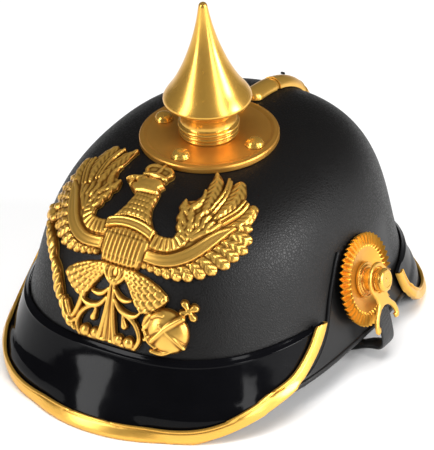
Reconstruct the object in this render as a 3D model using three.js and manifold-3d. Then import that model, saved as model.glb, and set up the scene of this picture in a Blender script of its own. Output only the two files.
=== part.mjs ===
// Spiked helmet: hollow skull, two guards with gold edging, crown plate and spike, back spine,
// eagle badge, side rosettes with strap hooks, and a chin strap. Millimetres, +Z up, front at -Y,
// the wearer's left at +X. The helmet stands on the feet of its two edgings, at z = 0.
import * as THREE from 'three';
import { mergeVertices } from 'three/addons/utils/BufferGeometryUtils.js';
import Module from 'manifold-3d';

const wasm = await Module();
wasm.setup();

// ---------------------------------------------------------------- driving dimensions

const GAP = 0.3;

const SKULL = {
  halfWidth: 95, front: 125, back: 108.6, centreY: 3.2,
  rimZ: 13.5, crownZ: 122.3, wall: 2.5, bead: 0.8, beadHeight: 3,
  flare: 0.12, squareRim: 2.86, squareCrown: 2.17, shoulder: 4.44, side: 3.16,
  crownDrift: 7.6, crownTilt: 0.035,
  rimArch: 2.2, columns: 64, rows: 14,
};

const PLATE = { y: -2.3, z: 122.2, radius: 39.1, bead: 4.6, field: 1.9, studRadius: 5.5, studCircle: 29.6 };
const SPIKE_HEIGHT = 84;
const GUARD = { wall: 2, stations: 44, strips: 6, bulge: 0.9, clearance: 0.7, lip: 3.8, lipWall: 0.7 };
const EDGING = { frontWidth: 7, rearWidth: 5.6, sheet: 1.2, lip: 1.2, near: 0.95, footDepth: 2.2, footBelow: 3.2 };
const SPINE = { startY: 39.2, endZ: 39.5, halfWidth: 6, height: 5.4 };
const VENT = { startY: 61, endY: 92, sheet: 0.6, sink: 0.8, knobY: 73.5, knobRadius: 1.3, knobHeight: 1.2 };
const ROSETTE = { y: 10, z: 48.1, radius: 26.7, fluteFrom: 18.5, leanBack: 0.05, leanUp: 0.08, stand: 1.3 };
const POST = { flange: 10, radius: 6.5 };
const HOOK = { lift: 10.6, sheet: 1.6, ring: 10, hole: 7.3 };
const STRAP = { width: 12, thick: 1.6, y: 13 };
const BADGE = { bottomY: -106.8, bottomZ: 46.1, lean: 0.8257, thick: 2.6 };

// Each guard is ruled from a line on the skull to its free edge. Half of the edge is given: the
// other half is its mirror image.
const FRONT_GUARD = {
  edge: [
    { x: 0, y: -133.1, z: 1.9 }, { x: 19.4, y: -131, z: 1.9 }, { x: 34.8, y: -125.7, z: 1.9 },
    { x: 48.8, y: -117.4, z: 2.1 }, { x: 61.8, y: -106, z: 4 }, { x: 73, y: -95.8, z: 8.5 },
    { x: 81.8, y: -85, z: 13 }, { x: 87, y: -72.3, z: 16.6 }, { x: 90.2, y: -63, z: 19 },
    { x: 91, y: -52.3, z: 24.8 }, { x: 91.2, y: -45.4, z: 29.3 }, { x: 91, y: -39.5, z: 34 },
    { x: 90.6, y: -34.8, z: 38.8 }, { x: 90, y: -31.7, z: 43.1 },
  ],
  line: { from: -153, to: -27, z: 44.9, drop: 1.6, power: 5 },
};
const REAR_GUARD = {
  edge: [
    { x: 0, y: 134.3, z: 1.9 }, { x: 20, y: 132, z: 1.9 }, { x: 37.4, y: 126.2, z: 1.9 },
    { x: 52.8, y: 116.4, z: 1.9 }, { x: 66.6, y: 105.8, z: 1.9 }, { x: 75.8, y: 97.7, z: 2 },
    { x: 83.8, y: 89, z: 2.3 }, { x: 88.6, y: 80.4, z: 3 }, { x: 91.4, y: 71.8, z: 4.8 },
    { x: 92.2, y: 64.6, z: 8.6 }, { x: 92.6, y: 57.8, z: 14.2 }, { x: 92.4, y: 53.2, z: 21.4 },
    { x: 91.6, y: 50.6, z: 27.6 }, { x: 90.6, y: 49, z: 33 },
  ],
  line: { from: 33, to: 147, z: 36.4, drop: 2.4, power: 6 },
};

// The welt's route over the skull's side, from the rim up to under the rosette.
const WELT = {
  width: 2.4, height: 1.5,
  route: [
    { y: -52, z: 20 }, { y: -47.4, z: 21.6 }, { y: -41.3, z: 24.6 }, { y: -34.4, z: 29.5 },
    { y: -28.7, z: 35.2 }, { y: -24.9, z: 41.5 }, { y: -22.3, z: 47.1 }, { y: -18.9, z: 53.9 },
    { y: -14.2, z: 61.6 }, { y: -10, z: 68 }, { y: -6, z: 72.4 },
  ],
};

// The spike's outline, as heights above the plate and radii.
const SPIKE_OUTLINE = [
  { h: 2.2, r: 16.6 }, { h: 3.4, r: 16.6 }, { h: 3.9, r: 15.9 }, { h: 4.5, r: 16.9 }, { h: 6, r: 16.9 },
  { h: 6.6, r: 16.1 }, { h: 7.2, r: 16.9 }, { h: 8.3, r: 17.3 }, { h: 9.4, r: 16.9 }, { h: 10, r: 15.9 },
  { h: 13, r: 15.2 }, { h: 16, r: 15.6 }, { h: 18.4, r: 17.4 }, { h: 20.6, r: 20.4 }, { h: 22.4, r: 23.2 },
  { h: 23.5, r: 24.5 }, { h: 24.6, r: 24.8 }, { h: 26, r: 24.4 }, { h: 28.5, r: 22.8 }, { h: 32.4, r: 20 },
  { h: 37, r: 17.2 }, { h: 42, r: 14.6 }, { h: 47.3, r: 12.2 }, { h: 53, r: 10 }, { h: 58, r: 8.2 },
  { h: 64, r: 6.4 }, { h: 71, r: 4.6 }, { h: 78, r: 3.2 }, { h: 81.6, r: 2.6 }, { h: 83.3, r: 1.6 },
  { h: SPIKE_HEIGHT, r: 0 },
];

const GOLD = { color: 0xd9a036, roughness: 0.34, metalness: 0.85 };
const BADGE_GOLD = { color: 0xe0a52e, roughness: 0.36, metalness: 0.85 };
const GRAINED = { color: 0x1b1a19, roughness: 0.62, metalness: 0 };
const GLOSSY = { color: 0x0b0b0c, roughness: 0.12, metalness: 0 };
const SATIN = { color: 0x171717, roughness: 0.38, metalness: 0 };
const ELASTIC = { color: 0x0e0e0f, roughness: 0.9, metalness: 0 };

// ---------------------------------------------------------------- meshes and solids

const helmet = new THREE.Group();

function addMesh(name, geometry, finish, parent = helmet) {
  const mesh = new THREE.Mesh(geometry, new THREE.MeshStandardMaterial(finish));
  mesh.name = name;
  parent.add(mesh);
  return mesh;
}

function signedVolume(points, faces) {
  const cross = new THREE.Vector3();
  return faces.reduce((sum, [a, b, c]) => sum + points[a].dot(cross.crossVectors(points[b], points[c])), 0);
}

function makeGeometry(points, faces) {
  const outward = signedVolume(points, faces) > 0;
  const index = faces.flatMap(([a, b, c]) => (outward ? [a, b, c] : [a, c, b]));
  const geometry = new THREE.BufferGeometry();
  geometry.setAttribute('position', new THREE.Float32BufferAttribute(points.flatMap((p) => p.toArray()), 3));
  geometry.setIndex(index);
  geometry.computeVertexNormals();
  return geometry;
}

// A closed body through loops that all have the same number of points. The ends are closed with
// the triangles of `cap`, which are indices into a loop, or with a fan round the loop's middle.
function loft(loops, cap = null) {
  const points = loops.flat();
  const size = loops[0].length;
  const faces = [];
  for (let row = 0; row + 1 < loops.length; row += 1) {
    for (let i = 0; i < size; i += 1) {
      const j = (i + 1) % size;
      const [a, b, c, d] = [row * size + i, row * size + j, (row + 1) * size + j, (row + 1) * size + i];
      faces.push([a, b, c], [a, c, d]);
    }
  }
  const closeEnd = (row, turned) => {
    const order = ([a, b, c]) => (turned ? [a, b, c] : [a, c, b]);
    if (cap) {
      cap.forEach((corners) => faces.push(order(corners.map((i) => row * size + i))));
      return;
    }
    const middle = new THREE.Vector3();
    loops[row].forEach((p) => middle.addScaledVector(p, 1 / size));
    points.push(middle);
    for (let i = 0; i < size; i += 1) {
      faces.push(order([row * size + i, row * size + ((i + 1) % size), points.length - 1]));
    }
  };
  closeEnd(0, false);
  closeEnd(loops.length - 1, true);
  return makeGeometry(points, faces);
}

function toSolid(geometry) {
  const bare = geometry.clone();
  bare.deleteAttribute('normal');
  bare.deleteAttribute('uv');
  const merged = mergeVertices(bare, 1e-4);
  return new wasm.Manifold(new wasm.Mesh({
    numProp: 3,
    vertProperties: new Float32Array(merged.attributes.position.array),
    triVerts: new Uint32Array(merged.index.array),
  }));
}

function toGeometry(solid) {
  const mesh = solid.getMesh();
  const geometry = new THREE.BufferGeometry();
  geometry.setAttribute('position', new THREE.BufferAttribute(new Float32Array(mesh.vertProperties), 3));
  geometry.setIndex(new THREE.BufferAttribute(new Uint32Array(mesh.triVerts), 1));
  geometry.computeVertexNormals();
  return geometry;
}

const lathe = (outline, segments) => new THREE.LatheGeometry(outline.map(([r, h]) => new THREE.Vector2(r, h)), segments)
  .rotateX(Math.PI / 2);

// ---------------------------------------------------------------- the skull's form

// The skull's half-width at a height fraction: 1 at the rim, 0 at the crown.
function skullScale(u) {
  const dome = (1 - u ** SKULL.shoulder) ** (1 / SKULL.side);
  return (dome * (1 + SKULL.flare * (1 - u) ** 3)) / (1 + SKULL.flare);
}

// Distance from the axis to the plan outline, a superellipse with unlike front and back.
function planRadius(angle, u, offset) {
  const square = SKULL.squareRim + (SKULL.squareCrown - SKULL.squareRim) * u;
  const depth = (Math.sin(angle) < 0 ? SKULL.front : SKULL.back) + offset;
  const across = Math.abs(Math.cos(angle) / (SKULL.halfWidth + offset)) ** square;
  const along = Math.abs(Math.sin(angle) / depth) ** square;
  return skullScale(u) * (across + along) ** (-1 / square);
}

const axisY = (u) => SKULL.centreY + SKULL.crownDrift * u;

function skullPoint(angle, u, offset) {
  const radius = planRadius(angle, u, offset);
  const y = axisY(u) + radius * Math.sin(angle);
  const level = SKULL.rimZ + (SKULL.crownZ + offset - SKULL.rimZ) * u;
  return new THREE.Vector3(radius * Math.cos(angle), y, level + SKULL.crownTilt * (y - PLATE.y) * u ** 4);
}

// The height fraction at which the skull's surface, moved out by `offset`, has height z at y.
function heightFraction(y, z, offset) {
  let u = 0;
  for (let pass = 0; pass < 8; pass += 1) {
    const level = z - SKULL.crownTilt * (y - PLATE.y) * u ** 4;
    u = THREE.MathUtils.clamp((level - SKULL.rimZ) / (SKULL.crownZ + offset - SKULL.rimZ), 0, 0.9999);
  }
  return u;
}

// The skull's side profile, with its parameter spread so that neither end is cramped.
class SkullProfile extends THREE.Curve {
  getPoint(t, target = new THREE.Vector2()) {
    const turn = (Math.PI / 2) * t ** 2.2;
    const u = Math.sin(turn) ** (2 / SKULL.shoulder);
    return target.set(u * (SKULL.crownZ - SKULL.rimZ), skullScale(Math.min(u, 1)) * SKULL.halfWidth);
  }
}

const profileRows = new SkullProfile().getSpacedPoints(SKULL.rows)
  .map((p) => p.x / (SKULL.crownZ - SKULL.rimZ))
  .slice(0, -1);

function skullLoop(u, offset) {
  return Array.from({ length: SKULL.columns }, (_, i) => skullPoint((i / SKULL.columns) * 2 * Math.PI, u, offset));
}

// A loop near the rim, which arches up a little over each ear.
function archedLoop(u, offset) {
  return skullLoop(u, offset).map((point, i) => {
    const across = Math.cos((i / SKULL.columns) * 2 * Math.PI);
    return point.setZ(point.z + SKULL.rimArch * across ** 4);
  });
}

// The skull filled in and moved out by `offset`: what fits over the helmet is cut with it.
function filledSkull(offset) {
  return loft(profileRows.map((u) => skullLoop(u, offset)));
}

function buildShell() {
  const beadTop = SKULL.beadHeight / (SKULL.crownZ - SKULL.rimZ);
  const rows = profileRows.filter((u) => u > beadTop + 0.03);
  const outer = [
    archedLoop(0, SKULL.bead), archedLoop(beadTop, SKULL.bead), archedLoop(beadTop + 0.004, 0),
    ...rows.map((u) => skullLoop(u, 0)),
  ];
  const inner = [archedLoop(0, -SKULL.wall), ...rows.map((u) => skullLoop(u, -SKULL.wall))];
  return loft([...inner.reverse(), ...outer]);
}

// Moves a point straight out from the skull's axis until it is `gap` off the skull and its bead.
function clearOfSkull(point, gap) {
  const beadEnd = SKULL.rimZ + SKULL.beadHeight + SKULL.rimArch + 2.5;
  const clearance = gap + (SKULL.bead + 0.3) * THREE.MathUtils.clamp((beadEnd - point.z) / 2, 0, 1);
  const u = heightFraction(point.y, point.z, clearance);
  const angle = Math.atan2(point.y - axisY(u), point.x);
  const reach = Math.hypot(point.x, point.y - axisY(u));
  const least = planRadius(angle, u, clearance);
  if (reach < least) {
    point.x *= least / reach;
    point.y = axisY(u) + (point.y - axisY(u)) * (least / reach);
  }
  return point;
}

// A point of the skull's side at y and z, and the direction straight out of the skull there.
function skullSeat(y, z, side) {
  const at = (py, pz) => {
    const u = heightFraction(py, pz, 0);
    const square = SKULL.squareRim + (SKULL.squareCrown - SKULL.squareRim) * u;
    const depth = (py < axisY(u) ? SKULL.front : SKULL.back) * skullScale(u);
    const share = 1 - Math.abs((py - axisY(u)) / depth) ** square;
    return new THREE.Vector3(side * SKULL.halfWidth * skullScale(u) * share ** (1 / square), py, pz);
  };
  const step = 0.5;
  const alongY = at(y + step, z).sub(at(y - step, z));
  const alongZ = at(y, z + step).sub(at(y, z - step));
  return { point: at(y, z), out: alongY.cross(alongZ).normalize().multiplyScalar(side) };
}

// ---------------------------------------------------------------- guards and edging

class Guard {
  constructor({ edge, line }) {
    const half = edge.map(({ x, y, z }) => new THREE.Vector3(x, y, z));
    const mirrored = half.slice(1).reverse().map((p) => new THREE.Vector3(-p.x, p.y, p.z));
    this.edge = new THREE.CatmullRomCurve3([...mirrored, ...half], false, 'centripetal');
    this.line = new THREE.CatmullRomCurve3(Array.from({ length: 41 }, (_, i) => {
      const share = i / 40;
      const angle = THREE.MathUtils.degToRad(line.from + (line.to - line.from) * share);
      const z = line.z - line.drop * Math.abs(2 * share - 1) ** line.power;
      return skullPoint(angle, heightFraction(0, z, 0), 0);
    }));
    if (this.line.getPoint(0).x > 0) {
      this.line.points.reverse();
    }
  }

  ruling(v) {
    const start = this.line.getPointAt(v);
    const end = this.edge.getPointAt(v);
    return { start, end, length: start.distanceTo(end), down: end.clone().sub(start).normalize() };
  }

  // The outer face, past the thin lip on the skull: v runs from the right end to the left one, w from the skull to the edge.
  face(v, w) {
    const { start, end } = this.ruling(v);
    const point = start.lerp(end, w);
    const out = new THREE.Vector3(point.x, point.y - SKULL.centreY, 0).normalize();
    point.addScaledVector(out, GUARD.bulge * Math.sin(Math.PI * w));
    return clearOfSkull(point, GUARD.clearance + GUARD.wall);
  }

  normal(v, w) {
    const step = 0.004;
    const [v0, v1] = [Math.max(v - step, 0), Math.min(v + step, 1)];
    const [w0, w1] = [Math.max(w - step, 0), Math.min(w + step, 1)];
    const along = this.face(v1, w).sub(this.face(v0, w));
    const across = this.face(v, w1).sub(this.face(v, w0));
    const out = along.cross(across).normalize();
    const outward = new THREE.Vector3(this.face(v, w).x, this.face(v, w).y - SKULL.centreY, 0);
    return out.dot(outward) < 0 ? out.negate() : out;
  }

  // A point at `lift` outside the outer face, and `beyond` past the free edge.
  offsetPoint(v, w, lift, beyond = 0) {
    const point = this.face(v, w).addScaledVector(this.normal(v, w), lift);
    point.addScaledVector(this.ruling(v).down, beyond);
    return clearOfSkull(point, GUARD.clearance);
  }

  // A corner of the edging's foot, which is flat where the helmet stands on it.
  footPoint(v, lift) {
    const { lip, footDepth, footBelow } = EDGING;
    const point = this.offsetPoint(v, 1, lift, GAP + lip);
    const share = THREE.MathUtils.clamp((footBelow - point.z) / footBelow, 0, 1);
    point.z = Math.max(point.z - footDepth * share, 0);
    return point;
  }

  sheet() {
    const { stations, strips, wall, lip, lipWall } = GUARD;
    const rows = Array.from({ length: strips }, (_, i) => i / (strips - 1));
    return loft(Array.from({ length: stations + 1 }, (_, i) => {
      const v = i / stations;
      const lipShare = Math.min(lip / this.ruling(v).length, 0.5);
      const face = [0, ...rows.map((w) => lipShare + (1 - lipShare) * w)];
      const outer = face.map((w) => this.offsetPoint(v, w, w === 0 ? lipWall - wall : 0));
      const inner = face.map((w) => this.offsetPoint(v, w, -wall));
      return [...outer, ...inner.reverse()];
    }), rows.flatMap((_, i) => {
      const far = 2 * rows.length + 1 - i;
      return [[i, i + 1, far - 1], [i, far - 1, far]];
    }));
  }

  // An angle section: one leg over the outer face, the other over the edge, with a flat foot.
  edging(width) {
    const { stations, wall } = GUARD;
    const { sheet, near } = EDGING;
    return loft(Array.from({ length: stations + 1 }, (_, i) => {
      const v = i / stations;
      const inner = Math.max(0.05, 1 - width / this.ruling(v).length);
      const middle = (1 + inner) / 2;
      return [
        this.offsetPoint(v, inner, near), this.offsetPoint(v, inner, near + sheet),
        this.offsetPoint(v, middle, near + sheet), this.offsetPoint(v, 1, near + sheet, near),
        this.footPoint(v, 0.6), this.footPoint(v, -wall),
        this.offsetPoint(v, 1, -wall, near), this.offsetPoint(v, 1, near, near),
        this.offsetPoint(v, middle, near),
      ];
    }), [[0, 1, 2], [0, 2, 8], [2, 3, 7], [2, 7, 8], [3, 4, 7], [4, 6, 7], [4, 5, 6]]);
  }
}

// ---------------------------------------------------------------- crown

// The plate's underside is cut to the skull, so that its rim sits down on the crown all round.
function buildPlate(place) {
  const { radius, bead, field } = PLATE;
  const inner = radius - bead;
  const plate = lathe([
    [0, -0.6], [inner, -0.8], [radius - 0.8, -2.1], [radius, -1.8], [radius, 0.5],
    [radius - 0.9, 1.7], [radius - 2.3, 2.4], [inner + 0.9, 2.2], [inner, field], [0, field],
  ], 48).applyMatrix4(place);
  return toGeometry(toSolid(plate).subtract(toSolid(filledSkull(GAP))));
}

function buildStud() {
  const { studRadius, field } = PLATE;
  const foot = field + GAP;
  return lathe([
    [0, foot], [studRadius, foot], [studRadius * 0.93, foot + 1.3], [studRadius * 0.72, foot + 2.6],
    [studRadius * 0.4, foot + 3.4], [0, foot + 3.7],
  ], 18);
}

function buildSpike() {
  const outline = SPIKE_OUTLINE.map(({ h, r }) => [r, h]);
  return lathe([[0, SPIKE_OUTLINE[0].h], ...outline], 32);
}

// ---------------------------------------------------------------- spine and vent

// Stations down the middle of the back, as points of the skull and the way straight out of it.
function spineStations(fromY, toZ, count) {
  const back = Math.PI / 2;
  const surface = Array.from({ length: 400 }, (_, i) => skullPoint(back, 1 - (i / 400) ** 2, 0))
    .filter((p) => p.y > fromY && p.z > toZ);
  const route = new THREE.CatmullRomCurve3(surface.filter((_, i) => i % 4 === 0));
  return Array.from({ length: count + 1 }, (_, i) => {
    const tangent = route.getTangentAt(i / count);
    return { point: route.getPointAt(i / count), out: new THREE.Vector3(0, -tangent.z, tangent.y) };
  });
}

function halfRound(station, halfWidth, height, lift, steps) {
  return Array.from({ length: steps + 1 }, (_, i) => {
    const angle = (i / steps) * Math.PI;
    const point = station.point.clone().addScaledVector(station.out, lift + height * Math.sin(angle));
    point.x = halfWidth * Math.cos(angle);
    return point;
  });
}

// The spine is thinner under the vent's sleeve, which is flush with it.
function buildSpine() {
  const { startY, endZ, halfWidth, height } = SPINE;
  return loft(spineStations(startY, endZ, 36).map((station) => {
    const sunk = station.point.y > VENT.startY && station.point.y < VENT.endY ? VENT.sink : 0;
    return halfRound(station, halfWidth - sunk, height - sunk, GAP + 0.2, 8);
  }));
}

function buildVent() {
  const halfWidth = SPINE.halfWidth - VENT.sink;
  const height = SPINE.height - VENT.sink;
  const stations = spineStations(VENT.startY + 3, SPINE.endZ, 60).filter(({ point }) => point.y < VENT.endY - 3);
  const sleeve = stations.filter((_, i) => i % 2 === 0).map((station) => {
    const outer = halfRound(station, halfWidth + GAP + VENT.sheet, height + GAP + VENT.sheet, GAP + 0.2, 8);
    const inner = halfRound(station, halfWidth + GAP, height + GAP, GAP + 0.2, 8);
    return [...outer, ...inner.reverse()];
  });
  const cap = Array.from({ length: 8 }, (_, i) => [[i, i + 1, 16 - i], [i, 16 - i, 17 - i]]).flat();
  return loft(sleeve, cap);
}

function buildKnob() {
  const { height } = SPINE;
  const stations = spineStations(VENT.startY, SPINE.endZ, 60);
  const { point, out } = stations.find((station) => station.point.y > VENT.knobY);
  const lift = GAP + 0.2 + height - VENT.sink + GAP + VENT.sheet + GAP;
  const knob = lathe([
    [0, 0], [VENT.knobRadius, 0], [VENT.knobRadius, VENT.knobHeight * 0.7],
    [VENT.knobRadius * 0.6, VENT.knobHeight], [0, VENT.knobHeight],
  ], 16);
  const turn = new THREE.Quaternion().setFromUnitVectors(new THREE.Vector3(0, 0, 1), out);
  knob.applyQuaternion(turn);
  const foot = point.clone().addScaledVector(out, lift);
  return knob.translate(foot.x, foot.y, foot.z);
}

// ---------------------------------------------------------------- rosette, post and hook

function buildRosette() {
  const { radius, fluteFrom } = ROSETTE;
  return lathe([
    [0, 0], [9, 0], [13, 1.2], [radius - 0.4, 2.5], [radius, 3], [radius - 0.4, 3.8],
    [fluteFrom + 1.5, 5.3], [fluteFrom, 4.6], [10, 2.6], [0, 2.6],
  ], 40);
}

function buildPost() {
  const { flange, radius } = POST;
  const foot = 2.6 + GAP;
  return lathe([
    [0, foot], [flange, foot], [flange, foot + 1.6], [flange - 0.6, foot + 2.1], [radius, foot + 2.1],
    [radius, foot + 9.9], [radius + 0.2, foot + 10.3], [radius + 0.2, foot + 13.1], [radius - 0.8, foot + 14.1],
    [0, foot + 14.3],
  ], 28);
}

// A ring with two legs that part below it and turn in at their ends.
function buildHook() {
  const { ring, hole, sheet } = HOOK;
  const half = [
    { x: 9.2, y: -4 }, { x: 6, y: -9.5 }, { x: 5.6, y: -12.5 }, { x: 8, y: -16 }, { x: 11.4, y: -19.6 },
    { x: 13, y: -23.6 }, { x: 13.2, y: -27 }, { x: 11.6, y: -28.8 }, { x: 9.2, y: -28.2 },
    { x: 8.4, y: -25.6 }, { x: 9.9, y: -25 }, { x: 9.2, y: -22.6 }, { x: 7, y: -19.4 }, { x: 4, y: -17 },
    { x: 0, y: -16 },
  ];
  const outline = [...half, ...half.slice(0, -1).reverse().map(({ x, y }) => ({ x: -x, y }))];
  const legs = new THREE.ExtrudeGeometry(
    new THREE.Shape(outline.map(({ x, y }) => new THREE.Vector2(x, y))),
    { depth: sheet, bevelEnabled: false },
  );
  const eye = lathe([[0, 0], [ring, 0], [ring, sheet], [0, sheet]], 32);
  const bore = lathe([[0, -1], [hole, -1], [hole, sheet + 1], [0, sheet + 1]], 32);
  return toGeometry(toSolid(legs).add(toSolid(eye)).subtract(toSolid(bore)));
}

// ---------------------------------------------------------------- welt and strap

function buildWelt(side) {
  const { width, height, route } = WELT;
  const curve = new THREE.CatmullRomCurve3(route.map(({ y, z }) => new THREE.Vector3(0, y, z)));
  const count = 24;
  return loft(Array.from({ length: count + 1 }, (_, i) => {
    const at = curve.getPointAt(i / count);
    const { out } = skullSeat(at.y, at.z, side);
    const across = curve.getTangentAt(i / count).cross(out).normalize().multiplyScalar(width / 2);
    const corner = (sign, lift) => {
      const spot = skullSeat(at.y + across.y * sign, at.z + across.z * sign, side);
      return spot.point.addScaledVector(spot.out, lift);
    };
    return [corner(-1, GAP), corner(-1, height), corner(1, height), corner(1, GAP)];
  }), [[0, 1, 2], [0, 2, 3]]);
}

// The strap's middle line in the XZ plane: down from a hook, in under the rim, and flat across
// the floor to the other hook.
function buildStrap() {
  const { width, thick, y } = STRAP;
  const half = [
    { x: 0, z: 1.1 }, { x: 40, z: 1.1 }, { x: 72, z: 1.1 }, { x: 82, z: 1.8 }, { x: 88, z: 4 },
    { x: 94, z: 6.6 }, { x: 100, z: 7.8 }, { x: 103.6, z: 8.8 }, { x: 104.8, z: 11.5 },
    { x: 104.4, z: 17 }, { x: 103.2, z: 23 }, { x: 100.8, z: 31 },
  ];
  const middle = [...half.slice(1).reverse().map(({ x, z }) => ({ x: -x, z })), ...half];
  const curve = new THREE.CatmullRomCurve3(middle.map(({ x, z }) => new THREE.Vector3(x, 0, z)), false, 'centripetal');
  const count = 60;
  return loft(Array.from({ length: count + 1 }, (_, i) => {
    const at = curve.getPointAt(i / count);
    const tangent = curve.getTangentAt(i / count);
    const out = new THREE.Vector3(-tangent.z, 0, tangent.x).multiplyScalar(thick / 2);
    return [[-1, -1], [-1, 1], [1, 1], [1, -1]].map(([across, lift]) => new THREE.Vector3(
      at.x + out.x * lift, y + (across * width) / 2, at.z + out.z * lift,
    ));
  }), [[0, 1, 2], [0, 2, 3]]);
}

// ---------------------------------------------------------------- eagle badge

// The badge is drawn flat, x to the wearer's left and y up, from the foot of its tail.
const WING = [
  [13, 60], [20, 58.5], [24, 58.8], [26.3, 61], [26, 65], [23, 69.5], [21.4, 73], [20.6, 78], [19.6, 81.8],
  [22.3, 83.5], [24.4, 87], [26.6, 90.8], [28.8, 87], [28.2, 92], [26.4, 97.5], [25, 101], [26, 102.3],
  [30, 102], [34, 99.6], [37, 101.6], [41, 101], [44.6, 98], [46.8, 92.4], [50, 91.4], [53.2, 90],
  [55.6, 86.4], [56.4, 82], [56.2, 78.6], [59, 76.4], [60.8, 72.4], [60.2, 68.4], [58.2, 64.6], [58.4, 60],
  [56.4, 54.8], [52.6, 51.4], [51.6, 47.2], [48, 43.6], [44, 42.6], [40.4, 39], [36.4, 37.8], [28, 36.8],
  [14, 37.2], [8, 40], [8, 58],
];
const BODY = [
  [-8.6, 35], [-13.2, 38], [-13.2, 53], [-15.8, 55], [-15.8, 59.6], [-12, 64.6], [-9.8, 69], [-8.4, 76.4],
  [-12.4, 79], [-13.6, 82.6], [-18.3, 82.8], [-15, 86], [-9.6, 87.4], [-9.8, 88.8], [-11.6, 91.4],
  [-10.4, 94.6], [-6.6, 96], [-4.2, 96.2], [-2.8, 98], [-1.4, 96.2], [2.8, 95.2], [5.2, 92.4], [4.8, 89.6],
  [3.2, 88.4], [5.8, 84.6], [4.6, 82.4], [6.4, 77], [6.6, 71], [9, 66], [12, 62.4], [15.6, 59.6], [15.6, 55],
  [15, 53], [15, 38], [9.6, 35], [4, 29], [0.4, 26], [-3, 29],
];
const THIGH = [
  [8, 36.6], [17, 35.3], [24, 33.4], [29, 30.4], [32.4, 27], [30, 23.4], [26, 19.4], [19.4, 15.6],
  [14, 18.6], [10, 24], [7, 30], [5, 34],
];
const TAIL = [
  [-1.8, 28], [-2.6, 20], [-4, 9], [-6.4, 1.6], [-13.8, 3.4], [-19, 2.8], [-19, -2], [-12, -3.4], [12, -3.4],
  [20, -2], [20, 2.8], [14, 3.4], [7.2, 1.6], [4.8, 9], [3.6, 20], [3, 28],
];
const SCROLL = [
  [2, 24.4], [5.2, 20.4], [9, 19], [12.6, 20.8], [14.4, 18.8], [11, 17.2], [12, 15.6], [18, 16.8], [21, 16],
  [16.4, 12.4], [20, 8.4], [21, 2], [18, 0], [17.6, 6.6], [14, 10.8], [11.4, 8], [8.4, 7], [8.4, 11.4],
  [4.6, 15], [2, 18],
];
const LEG = [[16, 18.4], [20.6, 16.8], [22.4, 8], [26.4, 2.6], [22.6, -0.8], [18, 6]];
const SCEPTRE = [
  [-62.6, 57.6], [-60.4, 62], [-55, 61], [-52.4, 55], [-54.4, 50.4], [-50, 44.4], [-44.2, 37.6], [-41, 30.4],
  [-38.6, 29.4], [-34.6, 22], [-32.6, 16], [-29, 13], [-25, 9], [-24, 3], [-18, 1.4], [-18, -1.4], [-25, -1],
  [-30.4, 3], [-34.6, 10.4], [-39.4, 14], [-42.2, 21], [-45.6, 28], [-50.4, 36], [-56, 44], [-60, 51],
];

const flip = (outline) => outline.map(([x, y]) => [-x, y]);

function circleOutline(x, y, radius, count = 28) {
  return Array.from({ length: count }, (_, i) => {
    const angle = (i / count) * 2 * Math.PI;
    return [x + radius * Math.cos(angle), y + radius * Math.sin(angle)];
  });
}

function barOutline(x, y, length, width, angle) {
  return [[-1, -1], [1, -1], [1, 1], [-1, 1]].map(([a, b]) => {
    const [along, across] = [(a * length) / 2, (b * width) / 2];
    return [
      x + along * Math.cos(angle) - across * Math.sin(angle),
      y + along * Math.sin(angle) + across * Math.cos(angle),
    ];
  });
}

function buildBadge() {
  const depth = 120;
  const orb = { x: 34.6, y: 12, radius: 11.4, crossX: 43.4, crossY: 25.6, arm: 9.4, armWidth: 3, turn: 0.75 };
  const outlines = [
    WING, flip(WING), BODY, THIGH, flip(THIGH), TAIL, SCROLL, flip(SCROLL), LEG, flip(LEG), SCEPTRE,
    circleOutline(orb.x, orb.y, orb.radius),
    barOutline(orb.crossX, orb.crossY, orb.arm, orb.armWidth, orb.turn),
    barOutline(orb.crossX, orb.crossY, orb.arm, orb.armWidth, orb.turn + Math.PI / 2),
  ];
  const drawing = outlines.map((outline) => {
    const shape = new THREE.Shape(outline.map(([x, y]) => new THREE.Vector2(x, y)));
    const block = new THREE.ExtrudeGeometry(shape, { depth, bevelEnabled: false });
    block.translate(0, 0, -depth / 2);
    block.rotateX(BADGE.lean);
    block.translate(0, BADGE.bottomY, BADGE.bottomZ);
    return toSolid(block);
  }).reduce((whole, next) => whole.add(next));
  const skin = toSolid(filledSkull(GAP + BADGE.thick)).subtract(toSolid(filledSkull(GAP)));
  return toGeometry(drawing.intersect(skin));
}

// ---------------------------------------------------------------- assembly

addMesh('shell', buildShell(), GRAINED);

const frontGuard = new Guard(FRONT_GUARD);
addMesh('front_peak', frontGuard.sheet(), GLOSSY);
addMesh('front_trim', frontGuard.edging(EDGING.frontWidth), GOLD);

const rearGuard = new Guard(REAR_GUARD);
addMesh('rear_peak', rearGuard.sheet(), SATIN);
addMesh('rear_trim', rearGuard.edging(EDGING.rearWidth), GOLD);

const crown = new THREE.Group();
crown.position.set(0, PLATE.y, PLATE.z);
crown.rotation.x = SKULL.crownTilt;
helmet.add(crown);
crown.updateMatrix();
addMesh('crown_plate', buildPlate(crown.matrix), GOLD);
addMesh('spike', buildSpike(), GOLD, crown);
for (let i = 0; i < 4; i += 1) {
  const stud = addMesh(`crown_stud_${i + 1}`, buildStud(), GOLD, crown);
  const angle = (i * Math.PI) / 2;
  stud.position.set(PLATE.studCircle * Math.cos(angle), PLATE.studCircle * Math.sin(angle), 0);
}

addMesh('spine', buildSpine(), GOLD);
addMesh('vent_slide', buildVent(), GOLD);
addMesh('vent_knob', buildKnob(), SATIN);

addMesh('eagle_plate', buildBadge(), BADGE_GOLD);

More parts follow.
